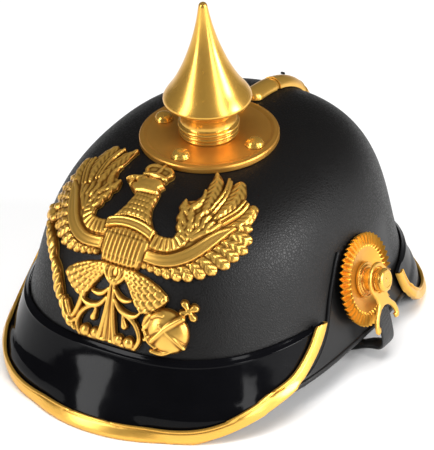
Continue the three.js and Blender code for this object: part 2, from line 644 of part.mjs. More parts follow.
for (const [name, side] of [['left', 1], ['right', -1]]) {
  const { point, out } = skullSeat(ROSETTE.y, ROSETTE.z, side);
  out.add(new THREE.Vector3(0, ROSETTE.leanBack, ROSETTE.leanUp)).normalize();
  const mount = new THREE.Group();
  mount.position.copy(point).addScaledVector(out, ROSETTE.stand);
  const forward = new THREE.Vector3(0, side, 0).addScaledVector(out, -side * out.y).normalize();
  const up = out.clone().cross(forward).normalize();
  mount.quaternion.setFromRotationMatrix(new THREE.Matrix4().makeBasis(forward, up, out));
  helmet.add(mount);
  addMesh(`rosette_${name}`, buildRosette(), GOLD, mount);
  addMesh(`rosette_post_${name}`, buildPost(), GOLD, mount);
  addMesh(`strap_hook_${name}`, buildHook(), GOLD, mount).position.z = HOOK.lift;
  addMesh(`side_strip_${name}`, buildWelt(side), SATIN);
}

addMesh('chin_strap', buildStrap(), ELASTIC);

export default helmet;
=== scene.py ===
"""Spiked helmet: the visual model, its finishes and a plain studio, in the frame of the CAD part.

Lengths in the classes are millimetres, with +Z up, the front at -Y and the wearer's left at +X.
Meshes are turned into metres when they are handed to Blender.
"""

import logging
import math
from dataclasses import dataclass, field
from enum import Enum
from typing import Callable, Optional, Sequence

import bpy
import numpy as np
from mathutils import Matrix, Vector

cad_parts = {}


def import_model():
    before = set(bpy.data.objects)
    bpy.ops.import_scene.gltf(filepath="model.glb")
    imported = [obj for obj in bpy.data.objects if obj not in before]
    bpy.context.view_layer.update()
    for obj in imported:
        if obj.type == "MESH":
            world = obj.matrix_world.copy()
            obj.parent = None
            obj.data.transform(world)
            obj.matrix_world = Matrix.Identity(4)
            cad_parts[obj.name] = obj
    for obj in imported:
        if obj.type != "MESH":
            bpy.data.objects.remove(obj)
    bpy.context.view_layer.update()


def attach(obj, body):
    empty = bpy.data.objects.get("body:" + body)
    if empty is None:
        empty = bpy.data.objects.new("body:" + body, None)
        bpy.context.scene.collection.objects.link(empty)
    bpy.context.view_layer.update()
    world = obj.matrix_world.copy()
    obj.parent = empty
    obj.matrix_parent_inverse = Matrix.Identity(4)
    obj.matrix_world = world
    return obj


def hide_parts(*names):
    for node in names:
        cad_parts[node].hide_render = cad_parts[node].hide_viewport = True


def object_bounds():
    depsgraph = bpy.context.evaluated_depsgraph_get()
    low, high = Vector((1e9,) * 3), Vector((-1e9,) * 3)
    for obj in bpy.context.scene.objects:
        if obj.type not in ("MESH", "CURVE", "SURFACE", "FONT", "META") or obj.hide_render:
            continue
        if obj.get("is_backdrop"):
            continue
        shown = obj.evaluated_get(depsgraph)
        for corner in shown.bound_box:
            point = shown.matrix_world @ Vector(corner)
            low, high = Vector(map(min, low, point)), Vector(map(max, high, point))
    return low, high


Array = np.ndarray
Colour = tuple[float, float, float]
Pattern = Callable[[Array, Array, Array, Array], Array]

MM = 0.001
GAP = 0.3
BODY = "root"
log = logging.getLogger("helmet")


# ------------------------------------------------------------------ small mathematics


def unit(vectors: Array) -> Array:
    """Vectors scaled to length one along the last axis."""
    return vectors / np.maximum(np.linalg.norm(vectors, axis=-1, keepdims=True), 1e-12)


def smooth_step(low: float, high: float, value: Array) -> Array:
    """0 below `low`, 1 above `high`, and 3t^2 - 2t^3 between them."""
    t = np.clip((value - low) / (high - low), 0.0, 1.0)
    return t * t * (3.0 - 2.0 * t)


def bell(value: Array, width: float) -> Array:
    """exp(-(value / width)^2): 1 in the middle, gone at about twice the width."""
    return np.exp(-((value / width) ** 2))


def table(rows: str) -> Array:
    """Numbers from rows of text, one row a line, each row with the same count of columns.

    Args:
        rows: Lines of numbers parted by spaces, or several rows on a line parted by commas.

    Returns:
        An array of shape (rows, columns).
    """
    parts = [part.split() for part in rows.replace("\n", ",").split(",") if part.strip()]
    return np.array(parts, dtype=float)


def round_corners(outline: Array, radius: float, steps: int = 4) -> Array:
    """Rounds the inner corners of an open outline.

    A corner C with its neighbours gives way to the parabola (1-t)^2 A + 2t(1-t) C + t^2 B, where A
    and B lie on the two sides at `radius` from C, or at 45% of a shorter side.

    Args:
        outline: Points of shape (n, 2).
        radius: How far from a corner its rounding starts.
        steps: Points that each rounding has.

    Returns:
        The rounded outline, of shape (m, 2).
    """
    corner = outline[1:-1]
    back = outline[:-2] - corner
    ahead = outline[2:] - corner
    long_back = np.linalg.norm(back, axis=1, keepdims=True)
    long_ahead = np.linalg.norm(ahead, axis=1, keepdims=True)
    start = corner + back / long_back * np.minimum(radius, 0.45 * long_back)
    end = corner + ahead / long_ahead * np.minimum(radius, 0.45 * long_ahead)
    t = np.linspace(0.0, 1.0, steps)[None, :, None]
    arcs = (1 - t) ** 2 * start[:, None] + 2 * t * (1 - t) * corner[:, None] + t**2 * end[:, None]
    return np.vstack([outline[:1], arcs.reshape(-1, 2), outline[-1:]])


def subdivide(outline: Array, longest: float) -> Array:
    """Puts evenly spaced points on the sides of an outline, so that no side is over `longest`."""
    sides = np.linalg.norm(np.diff(outline, axis=0), axis=1)
    count = np.maximum(np.ceil(sides / longest), 1).astype(int)
    at = np.concatenate([np.arange(n) / n + i for i, n in enumerate(count)] + [[len(count)]])
    index = np.arange(len(outline))
    return np.stack([np.interp(at, index, column) for column in outline.T], axis=1)


class Route:
    """A natural cubic spline through points, walked by its length.

    Between two points each coordinate is the cubic whose value and second derivative M meet at the
    points; M solves the three-band system of a spline that is straight at both of its ends.
    """

    def __init__(self, points: Array, samples: int = 1500, soften: float = 0.0) -> None:
        """Works out the spline.

        Args:
            points: Points of shape (n, 2) or (n, 3).
            samples: How many places of it are kept.
            soften: Width in millimetres of a bell that evens out small waves.
        """
        points = np.asarray(points, dtype=float)
        gap = np.linalg.norm(np.diff(points, axis=0), axis=1)
        at = np.concatenate([[0.0], np.cumsum(gap)])
        count = len(points)
        bands = np.eye(count)
        rise = np.zeros_like(points)
        inner = np.arange(1, count - 1)
        bands[inner, inner - 1] = gap[:-1]
        bands[inner, inner] = 2 * (gap[:-1] + gap[1:])
        bands[inner, inner + 1] = gap[1:]
        slope = np.diff(points, axis=0) / gap[:, None]
        rise[1:-1] = 6 * np.diff(slope, axis=0)
        bend = np.linalg.solve(bands, rise)
        t = np.linspace(0.0, at[-1], samples)
        i = np.clip(np.searchsorted(at, t, side="right") - 1, 0, count - 2)
        h = gap[i][:, None]
        a = (at[i + 1] - t)[:, None]
        b = (t - at[i])[:, None]
        path = (
            (bend[i] * a**3 + bend[i + 1] * b**3) / (6 * h)
            + (points[i] / h - bend[i] * h / 6) * a
            + (points[i + 1] / h - bend[i + 1] * h / 6) * b
        )
        if soften > 0:
            path = self._even_out(path, soften / (at[-1] / samples))
        self.path = path
        steps = np.linalg.norm(np.diff(path, axis=0), axis=1)
        self.length = float(steps.sum())
        self.share = np.concatenate([[0.0], np.cumsum(steps)]) / self.length
        self.direction = unit(np.gradient(path, axis=0))

    @staticmethod
    def _even_out(path: Array, width: float) -> Array:
        """Weighs each place with its neighbours by a bell; the ends are turned over to hold still."""
        reach = int(3 * width) + 1
        weights = bell(np.arange(-reach, reach + 1), width)
        weights /= weights.sum()
        head = 2 * path[0] - path[reach:0:-1]
        tail = 2 * path[-1] - path[-2 : -reach - 2 : -1]
        longer = np.vstack([head, path, tail])
        columns = [np.convolve(column, weights, mode="valid") for column in longer.T]
        return np.stack(columns, axis=1)

    def at(self, share: Array) -> Array:
        """Places at shares of the length, 0 to 1."""
        columns = [np.interp(share, self.share, column) for column in self.path.T]
        return np.stack(columns, axis=-1)

    def heading(self, share: Array) -> Array:
        """Unit directions at shares of the length."""
        columns = [np.interp(share, self.share, column) for column in self.direction.T]
        return unit(np.stack(columns, axis=-1))


# ------------------------------------------------------------------ meshes


class Ends(Enum):
    """How the two ends of a loft are closed."""

    FAN = "a fan round the middle of the last ring"
    LADDER = "rungs between the first half of the ring and its second half"


def grid_faces(rows: int, columns: int, wrap: bool) -> Array:
    """Four-cornered faces between neighbours of a grid, whose columns may close into a ring."""
    last = columns if wrap else columns - 1
    row, column = np.meshgrid(np.arange(rows - 1), np.arange(last), indexing="ij")
    beside = (column + 1) % columns
    corners = [row * columns + column, row * columns + beside]
    corners += [(row + 1) * columns + beside, (row + 1) * columns + column]
    return np.stack(corners, axis=-1).reshape(-1, 4)


def mesh_object(name: str, points: Array, faces: Sequence[Array], sharp: float) -> bpy.types.Object:
    """Puts arrays into a mesh object whose faces point outwards.

    Args:
        name: The piece's name.
        points: Corners in millimetres, of shape (n, 3).
        faces: Arrays of shape (k, 3) or (k, 4), all turned the same way round.
        sharp: Edges that bend more than this many degrees stay sharp.

    Returns:
        The linked object, at the origin.
    """
    parts = [part for part in faces if len(part)]
    origin = points.mean(axis=0)
    volume = 0.0
    for part in parts:
        for k in range(1, part.shape[1] - 1):
            a, b, c = (points[part[:, i]] - origin for i in (0, k, k + 1))
            volume += float(np.einsum("ij,ij->i", a, np.cross(b, c)).sum())
    if volume < 0:
        parts = [part[:, ::-1] for part in parts]
    loops = np.concatenate([part.ravel() for part in parts])
    sizes = np.concatenate([np.full(len(part), part.shape[1]) for part in parts])
    mesh = bpy.data.meshes.new(name)
    mesh.vertices.add(len(points))
    mesh.vertices.foreach_set("co", (points * MM).ravel().astype(np.float32))
    mesh.loops.add(len(loops))
    mesh.loops.foreach_set("vertex_index", loops.astype(np.int32))
    mesh.polygons.add(len(sizes))
    mesh.polygons.foreach_set("loop_start", np.concatenate([[0], np.cumsum(sizes)[:-1]]).astype(np.int32))
    mesh.polygons.foreach_set("use_smooth", np.ones(len(sizes), dtype=bool))
    mesh.update(calc_edges=True)
    mesh.validate()
    mesh.set_sharp_from_angle(angle=math.radians(sharp))
    piece = bpy.data.objects.new(name, mesh)
    bpy.context.collection.objects.link(piece)
    return piece


def loft(name: str, rings: Array, ends: Ends = Ends.FAN, sharp: float = 40.0) -> bpy.types.Object:
    """A closed body through rings that have the same count of points.

    Args:
        name: The piece's name.
        rings: Corners of shape (rings, points, 3).
        ends: How the first and the last ring are closed.
        sharp: Edges that bend more than this many degrees stay sharp.

    Returns:
        The object.
    """
    rows, columns = rings.shape[:2]
    points = rings.reshape(-1, 3)
    faces = [grid_faces(rows, columns, wrap=True)]
    ring = np.arange(columns)
    beside = (ring + 1) % columns
    if ends is Ends.FAN:
        middles = rings[[0, -1]].mean(axis=1)
        points = np.vstack([points, middles])
        first = np.stack([beside, ring, np.full(columns, len(points) - 2)], axis=1)
        base = (rows - 1) * columns
        last = np.stack([base + ring, base + beside, np.full(columns, len(points) - 1)], axis=1)
        faces += [first, last]
    else:
        i = np.arange(columns // 2 - 1)
        rungs = np.stack([i, i + 1, columns - 2 - i, columns - 1 - i], axis=1)
        faces += [rungs[:, ::-1], rungs + (rows - 1) * columns]
    return mesh_object(name, points, faces, sharp)


def set_attribute(piece: bpy.types.Object, name: str, values: Array) -> None:
    """Gives each vertex of a piece a number that its material can read."""
    attribute = piece.data.attributes.new(name, "FLOAT", "POINT")
    full = np.zeros(len(piece.data.vertices), dtype=np.float32)
    full[: len(values)] = values
    attribute.data.foreach_set("value", full)


@dataclass(frozen=True)
class Place:
    """An origin and three directions that a shape is drawn in."""

    origin: Array
    x: Array
    y: Array
    z: Array

    def put(self, points: Array) -> Array:
        """Points of the part frame from points (..., 3) of this place."""
        return self.origin + points[..., :1] * self.x + points[..., 1:2] * self.y + points[..., 2:] * self.z


def turned(place: Place, outline: Array, columns: int) -> Array:
    """Rings of a turned shape: an outline of radii and heights, carried round the place's z.

    The point at radius r, height h and angle a is (r cos a, r sin a, h).

    Args:
        place: Where the axis stands.
        outline: Rows of radius and height.
        columns: Points on each ring.

    Returns:
        Rings of shape (rows, columns, 3).
    """
    angle = np.linspace(0, 2 * np.pi, columns, endpoint=False)[None, :]
    radius, height = outline[:, :1], outline[:, 1:]
    local = [radius * np.cos(angle), radius * np.sin(angle), height + 0 * angle]
    return place.put(np.stack(local, axis=-1))


# ------------------------------------------------------------------ the skull's form


@dataclass(frozen=True)
class Skull:
    """The helmet's bowl: superellipse plans stacked along a superellipse profile."""

    half_width: float = 95.0
    front: float = 125.0
    back: float = 108.6
    centre_y: float = 3.2
    rim_z: float = 13.5
    crown_z: float = 122.3
    flare: float = 0.12
    square_rim: float = 2.86
    square_crown: float = 2.17
    shoulder: float = 4.44
    side: float = 3.16
    crown_drift: float = 7.6
    crown_tilt: float = 0.035
    plate_y: float = -2.3

    def scale(self, u: Array) -> Array:
        """Half-width at height share u: (1 - u^a)^(1/b), with a flare of (1 - u)^3 at the rim."""
        dome = np.maximum(1 - u**self.shoulder, 0.0) ** (1 / self.side)
        return dome * (1 + self.flare * (1 - u) ** 3) / (1 + self.flare)

    def reach(self, angle: Array, u: Array, offset: Array) -> Array:
        """Distance from the axis: (|cos/a|^n + |sin/b|^n)^(-1/n), b being unlike front and back."""
        square = self.square_rim + (self.square_crown - self.square_rim) * u
        depth = np.where(np.sin(angle) < 0, self.front, self.back) + offset
        across = np.abs(np.cos(angle) / (self.half_width + offset)) ** square
        along = np.abs(np.sin(angle) / depth) ** square
        return self.scale(u) * (across + along) ** (-1 / square)

    def axis_y(self, u: Array) -> Array:
        """The axis leans back evenly from the rim to the crown."""
        return self.centre_y + self.crown_drift * u

    def point(self, angle: Array, u: Array, offset: Array) -> Array:
        """The surface moved out by `offset`, at an angle round the axis and a height share."""
        angle, u, offset = np.broadcast_arrays(angle, u, np.asarray(offset, dtype=float))
        radius = self.reach(angle, u, offset)
        y = self.axis_y(u) + radius * np.sin(angle)
        level = self.rim_z + (self.crown_z + offset - self.rim_z) * u
        z = level + self.crown_tilt * (y - self.plate_y) * u**4
        return np.stack([radius * np.cos(angle), y, z], axis=-1)

    def height_share(self, y: Array, z: Array, offset: Array) -> Array:
        """The height share at which the surface moved out by `offset` has height z at y."""
        u = np.zeros(np.broadcast(y, z).shape)
        for _ in range(8):
            level = z - self.crown_tilt * (y - self.plate_y) * u**4
            u = np.clip((level - self.rim_z) / (self.crown_z + offset - self.rim_z), 0.0, 0.9999)
        return u

    def standoff(self, points: Array, offset: Array) -> Array:
        """How far points lie outside the surface moved out by `offset`, level with themselves."""
        x, y, z = np.moveaxis(points, -1, 0)
        u = self.height_share(y, z, offset)
        dy = y - self.axis_y(u)
        return np.hypot(x, dy) - self.reach(np.arctan2(dy, x), u, offset)

    def keep_clear(self, points: Array, gap: float, softness: float = 0.0) -> Array:
        """Moves points straight out from the axis until they are `gap` off the skull and its bead.

        A `softness` s turns the corner of max(a, 0) into (a + sqrt(a^2 + s^2)) / 2.
        """
        x, y, z = np.moveaxis(points, -1, 0)
        bead_end = self.rim_z + 3.0 + 2.2 + 2.5
        clearance = gap + 1.1 * np.clip((bead_end - z) / 2, 0.0, 1.0)
        u = self.height_share(y, z, clearance)
        dy = y - self.axis_y(u)
        reach = np.maximum(np.hypot(x, dy), 1e-6)
        over = reach - self.reach(np.arctan2(dy, x), u, clearance)
        wanted = reach - over + 0.5 * (over + np.sqrt(over**2 + softness**2))
        share = np.where(over < 4.0, wanted / reach, 1.0)
        return np.stack([x * share, self.axis_y(u) + dy * share, z], axis=-1)

    def seat(self, y: float, z: float, side: float) -> tuple[Array, Array]:
        """Finds a place on the skull's side.

        Args:
            y: Its distance back.
            z: Its height.
            side: 1 for the wearer's left and -1 for the right.

        Returns:
            The point, and the direction straight out there.
        """

        def at(py: float, pz: float) -> Array:
            """The side's point at a place back and a height."""
            u = self.height_share(np.array(py), np.array(pz), 0.0)
            square = self.square_rim + (self.square_crown - self.square_rim) * u
            depth = np.where(py < self.axis_y(u), self.front, self.back) * self.scale(u)
            share = 1 - np.abs((py - self.axis_y(u)) / depth) ** square
            x = side * self.half_width * self.scale(u) * share ** (1 / square)
            return np.array([float(x), py, pz])

        along_y = at(y + 0.5, z) - at(y - 0.5, z)
        along_z = at(y, z + 0.5) - at(y, z - 0.5)
        return at(y, z), unit(np.cross(along_y, along_z)) * side

    def profile_shares(self, rows: int) -> Array:
        """Height shares whose rings lie evenly spaced along the side profile."""
        turn = np.pi / 2 * np.linspace(0, 1, 4000) ** 2.2
        u = np.clip(np.sin(turn) ** (2 / self.shoulder), 0.0, 1.0)
        line = np.stack([u * (self.crown_z - self.rim_z), self.scale(u) * self.half_width], axis=1)
        walked = np.concatenate([[0.0], np.cumsum(np.linalg.norm(np.diff(line, axis=0), axis=1))])
        return np.interp(np.linspace(0, walked[-1], rows), walked, u)[:-1]


SKULL = Skull()


# ------------------------------------------------------------------ finishes


class Graph:
    """A short way to write a shader node tree."""

    def __init__(self, tree: bpy.types.NodeTree) -> None:
        """Keeps the tree that nodes are added to."""
        self.tree = tree

    def add(self, kind: str, inputs: Optional[dict] = None, **settings: object) -> bpy.types.Node:
        """Adds a node.

        Args:
            kind: The node's type name.
            inputs: Socket names or numbers, each with a value or with an output socket to link.
            settings: The node's own properties.

        Returns:
            The node.
        """
        node = self.tree.nodes.new(kind)
        node.location = (220 * (len(self.tree.nodes) % 9), -190 * (len(self.tree.nodes) // 9))
        for name, value in settings.items():
            setattr(node, name, value)
        for name, value in (inputs or {}).items():
            if isinstance(value, bpy.types.NodeSocket):
                self.tree.links.new(value, node.inputs[name])
            else:
                node.inputs[name].default_value = value
        return node

    def math(self, operation: str, *values: object, clamp: bool = False) -> bpy.types.NodeSocket:
        """The output of a Math node."""
        inputs = dict(enumerate(values))
        return self.add("ShaderNodeMath", inputs, operation=operation, use_clamp=clamp).outputs[0]

    def spread(self, value: object, low: float, high: float, to_low: float, to_high: float) -> bpy.types.NodeSocket:
        """A value carried from one range to another, held at the ends."""
        inputs = {0: value, 1: low, 2: high, 3: to_low, 4: to_high}
        return self.add("ShaderNodeMapRange", inputs, clamp=True).outputs[0]

    def blend(self, factor: object, first: object, second: object, mode: str = "MIX") -> bpy.types.NodeSocket:
        """The colour output of a Mix node."""
        inputs = {0: factor, 6: first, 7: second}
        return self.add("ShaderNodeMix", inputs, data_type="RGBA", blend_type=mode).outputs[2]

    def noise(self, where: object, scale: float, detail: float = 3.0, rough: float = 0.55) -> bpy.types.NodeSocket:
        """The grey output of a Noise texture."""
        inputs = {"Vector": where, "Scale": scale, "Detail": detail, "Roughness": rough}
        return self.add("ShaderNodeTexNoise", inputs).outputs[0]


def rgba(colour: Colour) -> tuple[float, float, float, float]:
    """A colour with full cover."""
    return (*colour, 1.0)


class Effects:
    """Shader node groups that several finishes share, each made once."""

    def __init__(self) -> None:
        """Builds every group."""
        self.tone = self._tone()
        self.grain = self._grain()
        self.handling = self._handling()
        self.dust = self._dust()

    @staticmethod
    def _group(name: str, inputs: dict[str, float], outputs: Sequence[str]) -> tuple[Graph, dict, bpy.types.Node]:
        """Starts a group.

        Args:
            name: The group's name.
            inputs: Number inputs with their usual values.
            outputs: Number outputs.

        Returns:
            Its graph, its input sockets by name, and its output node.
        """
        tree = bpy.data.node_groups.new(name, "ShaderNodeTree")
        for socket, value in inputs.items():
            made = tree.interface.new_socket(socket, in_out="INPUT", socket_type="NodeSocketFloat")
            made.default_value = value
        for socket in outputs:
            tree.interface.new_socket(socket, in_out="OUTPUT", socket_type="NodeSocketFloat")
        graph = Graph(tree)
        entry = graph.add("NodeGroupInput")
        sockets = {socket: entry.outputs[socket] for socket in inputs}
        return graph, sockets, graph.add("NodeGroupOutput")

    def _tone(self) -> bpy.types.NodeTree:
        """Slow drifts of tone: two sizes of soft noise, put out as one mask."""
        graph, given, out = self._group("tone_drift", {"Scale": 30.0, "Contrast": 1.0}, ["Mask"])
        where = graph.add("ShaderNodeTexCoord").outputs["Object"]
        broad = graph.noise(where, given["Scale"], 2.0)
        fine = graph.noise(where, graph.math("MULTIPLY", given["Scale"], 5.3), 3.0)
        both = graph.math("ADD", graph.math("MULTIPLY", broad, 0.65), graph.math("MULTIPLY", fine, 0.35))
        away = graph.math("MULTIPLY", graph.math("SUBTRACT", both, 0.5), given["Contrast"])
        mask = graph.math("ADD", away, 0.5, clamp=True)
        graph.tree.links.new(mask, out.inputs["Mask"])
        return graph.tree

    def _grain(self) -> bpy.types.NodeTree:
        """Leather grain: pebbles parted by creases, uneven in size, with fine pores on them."""
        inputs = {"Scale": 700.0, "Creases": 1.0, "Pores": 0.4}
        graph, given, out = self._group("pebbled_grain", inputs, ["Height", "Crease"])
        where = graph.add("ShaderNodeTexCoord").outputs["Object"]
        bend = graph.add("ShaderNodeTexNoise", {"Vector": where, "Scale": 260.0, "Detail": 2.0}).outputs["Color"]
        shift = graph.add("ShaderNodeVectorMath", {0: bend, "Scale": 0.0016}, operation="SCALE").outputs[0]
        moved = graph.add("ShaderNodeVectorMath", {0: where, 1: shift}, operation="ADD").outputs[0]
        cell = {"Vector": moved, "Scale": given["Scale"], "Randomness": 1.0}
        edge = graph.add("ShaderNodeTexVoronoi", cell, feature="DISTANCE_TO_EDGE").outputs["Distance"]
        crease = graph.spread(edge, 0.0, 0.28, 1.0, 0.0)
        swell = graph.noise(where, graph.math("MULTIPLY", given["Scale"], 0.45), 2.0)
        pores = graph.noise(where, graph.math("MULTIPLY", given["Scale"], 2.6), 2.0, 0.7)
        height = graph.math("MULTIPLY", crease, graph.math("MULTIPLY", given["Creases"], -0.55))
        height = graph.math("ADD", height, graph.math("MULTIPLY", swell, 0.9))
        height = graph.math("ADD", height, graph.math("MULTIPLY", pores, given["Pores"]))
        graph.tree.links.new(height, out.inputs["Height"])
        graph.tree.links.new(crease, out.inputs["Crease"])
        return graph.tree

    def _handling(self) -> bpy.types.NodeTree:
        """Hair-fine scuffs: stretched noise kept only where it peaks, broken up by a broad noise."""
        graph, given, out = self._group("handling_marks", {"Scale": 40.0, "Amount": 1.0}, ["Mask"])
        where = graph.add("ShaderNodeTexCoord").outputs["Object"]
        marks = []
        for turn, stretch in ((0.7, (1.0, 14.0, 3.0)), (-0.9, (11.0, 1.0, 6.0))):
            mapping = {"Vector": where, "Rotation": (0.3, 0.5, turn), "Scale": stretch}
            laid = graph.add("ShaderNodeMapping", mapping).outputs[0]
            marks.append(graph.spread(graph.noise(laid, given["Scale"], 4.0), 0.66, 0.74, 0.0, 1.0))
        patches = graph.spread(graph.noise(where, 22.0, 2.0), 0.45, 0.62, 0.0, 1.0)
        both = graph.math("MULTIPLY", graph.math("MAXIMUM", *marks), patches)
        graph.tree.links.new(graph.math("MULTIPLY", both, given["Amount"], clamp=True), out.inputs["Mask"])
        return graph.tree

    def _dust(self) -> bpy.types.NodeTree:
        """Small pale specks: the middles of a few cells of a fine cell pattern."""
        graph, given, out = self._group("dust_specks", {"Scale": 170.0, "Share": 0.06}, ["Mask"])
        where = graph.add("ShaderNodeTexCoord").outputs["Object"]
        cells = graph.add("ShaderNodeTexVoronoi", {"Vector": where, "Scale": given["Scale"]})
        chosen = graph.math("LESS_THAN", graph.math("FRACT", cells.outputs["Color"]), given["Share"])
        speck = graph.spread(cells.outputs["Distance"], 0.05, 0.12, 1.0, 0.0)
        graph.tree.links.new(graph.math("MULTIPLY", chosen, speck), out.inputs["Mask"])
        return graph.tree


class Finish:
    """What all the finishes share: a new material, a Principled shader and the groups."""

    def __init__(self, name: str, effects: Effects) -> None:
        """Starts an empty material with its shader and its output."""
        self.material = bpy.data.materials.new(name)
        self.material.use_nodes = True
        self.material.node_tree.nodes.clear()
        self.graph = Graph(self.material.node_tree)
        self.effects = effects
        self.shader = self.graph.add("ShaderNodeBsdfPrincipled")
        surface = {"Surface": self.shader.outputs[0]}
        self.graph.add("ShaderNodeOutputMaterial", surface)

    def effect(self, tree: bpy.types.NodeTree, **values: float) -> bpy.types.Node:
        """Places one of the groups with this finish's own values."""
        return self.graph.add("ShaderNodeGroup", values, node_tree=tree)

    def feed(self, **sockets: object) -> None:
        """Sets or links the shader's sockets; an underscore stands for a space."""
        for name, value in sockets.items():
            socket = self.shader.inputs[name.replace("_", " ")]
            if isinstance(value, bpy.types.NodeSocket):
                self.graph.tree.links.new(value, socket)
            else:
                socket.default_value = value

    def bump(self, height: bpy.types.NodeSocket, depth: float, strength: float = 1.0) -> None:
        """Leads a height into the shader's normal; `depth` is in millimetres."""
        inputs = {"Height": height, "Distance": depth * MM, "Strength": strength}
        self.feed(Normal=self.graph.add("ShaderNodeBump", inputs).outputs[0])


@dataclass(frozen=True)
class GoldPaint:
    """Satin gold paint on moulded plastic, with painted shade in the hollows of a relief."""

    name: str
    light: Colour
    deep: Colour
    # Colour of the painted shade in a relief's hollows.
    hollow_shade: Colour
    roughness: float = 0.3
    metallic: float = 0.8
    relief: bool = False

    def build(self, effects: Effects) -> bpy.types.Material:
        """Makes the material."""
        finish = Finish(self.name, effects)
        graph = finish.graph
        drift = finish.effect(effects.tone, Scale=26.0, Contrast=1.6).outputs["Mask"]
        colour = graph.blend(drift, rgba(self.deep), rgba(self.light))
        where = graph.add("ShaderNodeTexCoord").outputs["Object"]
        fleck = graph.noise(where, 5200.0, 1.0)
        if self.relief:
            # Painted shade: the relief's hollows are darkened towards a dark brown.
            hollow_shade = graph.add("ShaderNodeAttribute", attribute_name="hollow_shade").outputs["Fac"]
            colour = graph.blend(hollow_shade, colour, rgba(self.hollow_shade))
        marks = finish.effect(effects.handling, Scale=46.0, Amount=0.5).outputs["Mask"]
        rough = graph.spread(drift, 0.0, 1.0, self.roughness + 0.05, self.roughness - 0.04)
        rough = graph.math("ADD", rough, graph.math("MULTIPLY", marks, 0.14))
        finish.feed(Base_Color=colour, Metallic=self.metallic, Roughness=rough, Specular_IOR_Level=0.5)
        peel = graph.noise(where, 900.0, 2.0)
        height = graph.math("ADD", graph.math("MULTIPLY", fleck, 0.35), peel)
        finish.bump(height, 0.006)
        return finish.material


@dataclass(frozen=True)
class GrainedShell:
    """Black plastic with a moulded leather grain, smooth round the ears."""

    name: str = "grained_black_plastic"
    light: Colour = (0.007, 0.0063, 0.006)
    deep: Colour = (0.003, 0.0027, 0.0027)

    def build(self, effects: Effects) -> bpy.types.Material:
        """Makes the material; the attribute `ear` says where the skull is smooth."""
        finish = Finish(self.name, effects)
        graph = finish.graph
        ear = graph.add("ShaderNodeAttribute", attribute_name="ear").outputs["Fac"]
        grain = finish.effect(effects.grain, Scale=620.0, Creases=1.0, Pores=0.5)
        drift = finish.effect(effects.tone, Scale=18.0, Contrast=1.4).outputs["Mask"]
        colour = graph.blend(drift, rgba(self.deep), rgba(self.light))
        crease = graph.math("MULTIPLY", grain.outputs["Crease"], graph.math("SUBTRACT", 1.0, ear))
        # Painted shade: the grain's creases are darkened.
        colour = graph.blend(graph.math("MULTIPLY", crease, 0.6), colour, rgba((0.003, 0.003, 0.003)))
        colour = graph.blend(graph.math("MULTIPLY", ear, 0.5), colour, rgba((0.011, 0.011, 0.0115)))
        dust = finish.effect(effects.dust, Scale=95.0, Share=0.035).outputs["Mask"]
        colour = graph.blend(graph.math("MULTIPLY", dust, 0.35), colour, rgba((0.35, 0.34, 0.33)))
        rough = graph.spread(drift, 0.0, 1.0, 0.4, 0.32)
        rough = graph.math("ADD", rough, graph.math("MULTIPLY", crease, 0.2))
        finish.feed(Base_Color=colour, Roughness=rough, Specular_IOR_Level=0.27)
        height = graph.math("MULTIPLY", grain.outputs["Height"], graph.spread(ear, 0.0, 1.0, 1.0, 0.12))
        finish.bump(height, 0.1)
        return finish.material


@dataclass(frozen=True)
class GlossyBlack:
    """Polished black plastic that mirrors the lights, with faint waves and scuffs."""

    name: str
    roughness: float = 0.07
    wave: float = 0.03
    tint: Colour = (0.0016, 0.0016, 0.002)

    def build(self, effects: Effects) -> bpy.types.Material:
        """Makes the material."""
        finish = Finish(self.name, effects)
        graph = finish.graph
        drift = finish.effect(effects.tone, Scale=14.0, Contrast=1.5).outputs["Mask"]
        marks = finish.effect(effects.handling, Scale=60.0, Amount=0.9).outputs["Mask"]
        dust = finish.effect(effects.dust, Scale=120.0, Share=0.03).outputs["Mask"]
        colour = graph.blend(drift, rgba(self.tint), rgba(tuple(2.2 * c for c in self.tint)))
        colour = graph.blend(graph.math("MULTIPLY", dust, 0.6), colour, rgba((0.4, 0.4, 0.4)))
        rough = graph.spread(drift, 0.0, 1.0, self.roughness, self.roughness + 0.05)
        rough = graph.math("ADD", rough, graph.math("MULTIPLY", marks, 0.16))
        finish.feed(Base_Color=colour, Roughness=rough, Specular_IOR_Level=0.09)
        where = graph.add("ShaderNodeTexCoord").outputs["Object"]
        finish.bump(graph.noise(where, 55.0, 2.0), self.wave * 6)
        return finish.material


@dataclass(frozen=True)
class ElasticWeb:
    """Matt black elastic webbing: fine cross ribs, lengthwise cords, and lint."""

    name: str = "black_elastic"

    def build(self, effects: Effects) -> bpy.types.Material:
        """Makes the material; the piece's UV map runs along it and across it in millimetres."""
        finish = Finish(self.name, effects)
        graph = finish.graph
        sheet = graph.add("ShaderNodeUVMap", uv_map="weave").outputs[0]
        parts = graph.add("ShaderNodeSeparateXYZ", {0: sheet}).outputs
        ribs = graph.math("SINE", graph.math("MULTIPLY", parts[0], 2 * math.pi / 0.9))
        cords = graph.math("SINE", graph.math("MULTIPLY", parts[1], 2 * math.pi / 1.3))
        weave = graph.math("ADD", graph.math("ABSOLUTE", ribs), graph.math("MULTIPLY", cords, 0.5))
        lint = graph.noise(sheet, 6.0, 4.0)
        drift = finish.effect(effects.tone, Scale=60.0, Contrast=1.2).outputs["Mask"]
        colour = graph.blend(drift, rgba((0.006, 0.006, 0.007)), rgba((0.017, 0.017, 0.018)))
        # Painted shade: the weave is darkened between its ribs.
        colour = graph.blend(graph.spread(weave, 0.1, 0.9, 0.5, 0.0), colour, rgba((0.002, 0.002, 0.002)))
        colour = graph.blend(graph.spread(lint, 0.68, 0.78, 0.0, 0.35), colour, rgba((0.07, 0.07, 0.075)))
        finish.feed(Base_Color=colour, Roughness=graph.spread(lint, 0.2, 0.8, 0.8, 0.95))
        finish.feed(Sheen_Weight=0.25, Sheen_Roughness=0.5)
        finish.bump(weave, 0.14)
        return finish.material


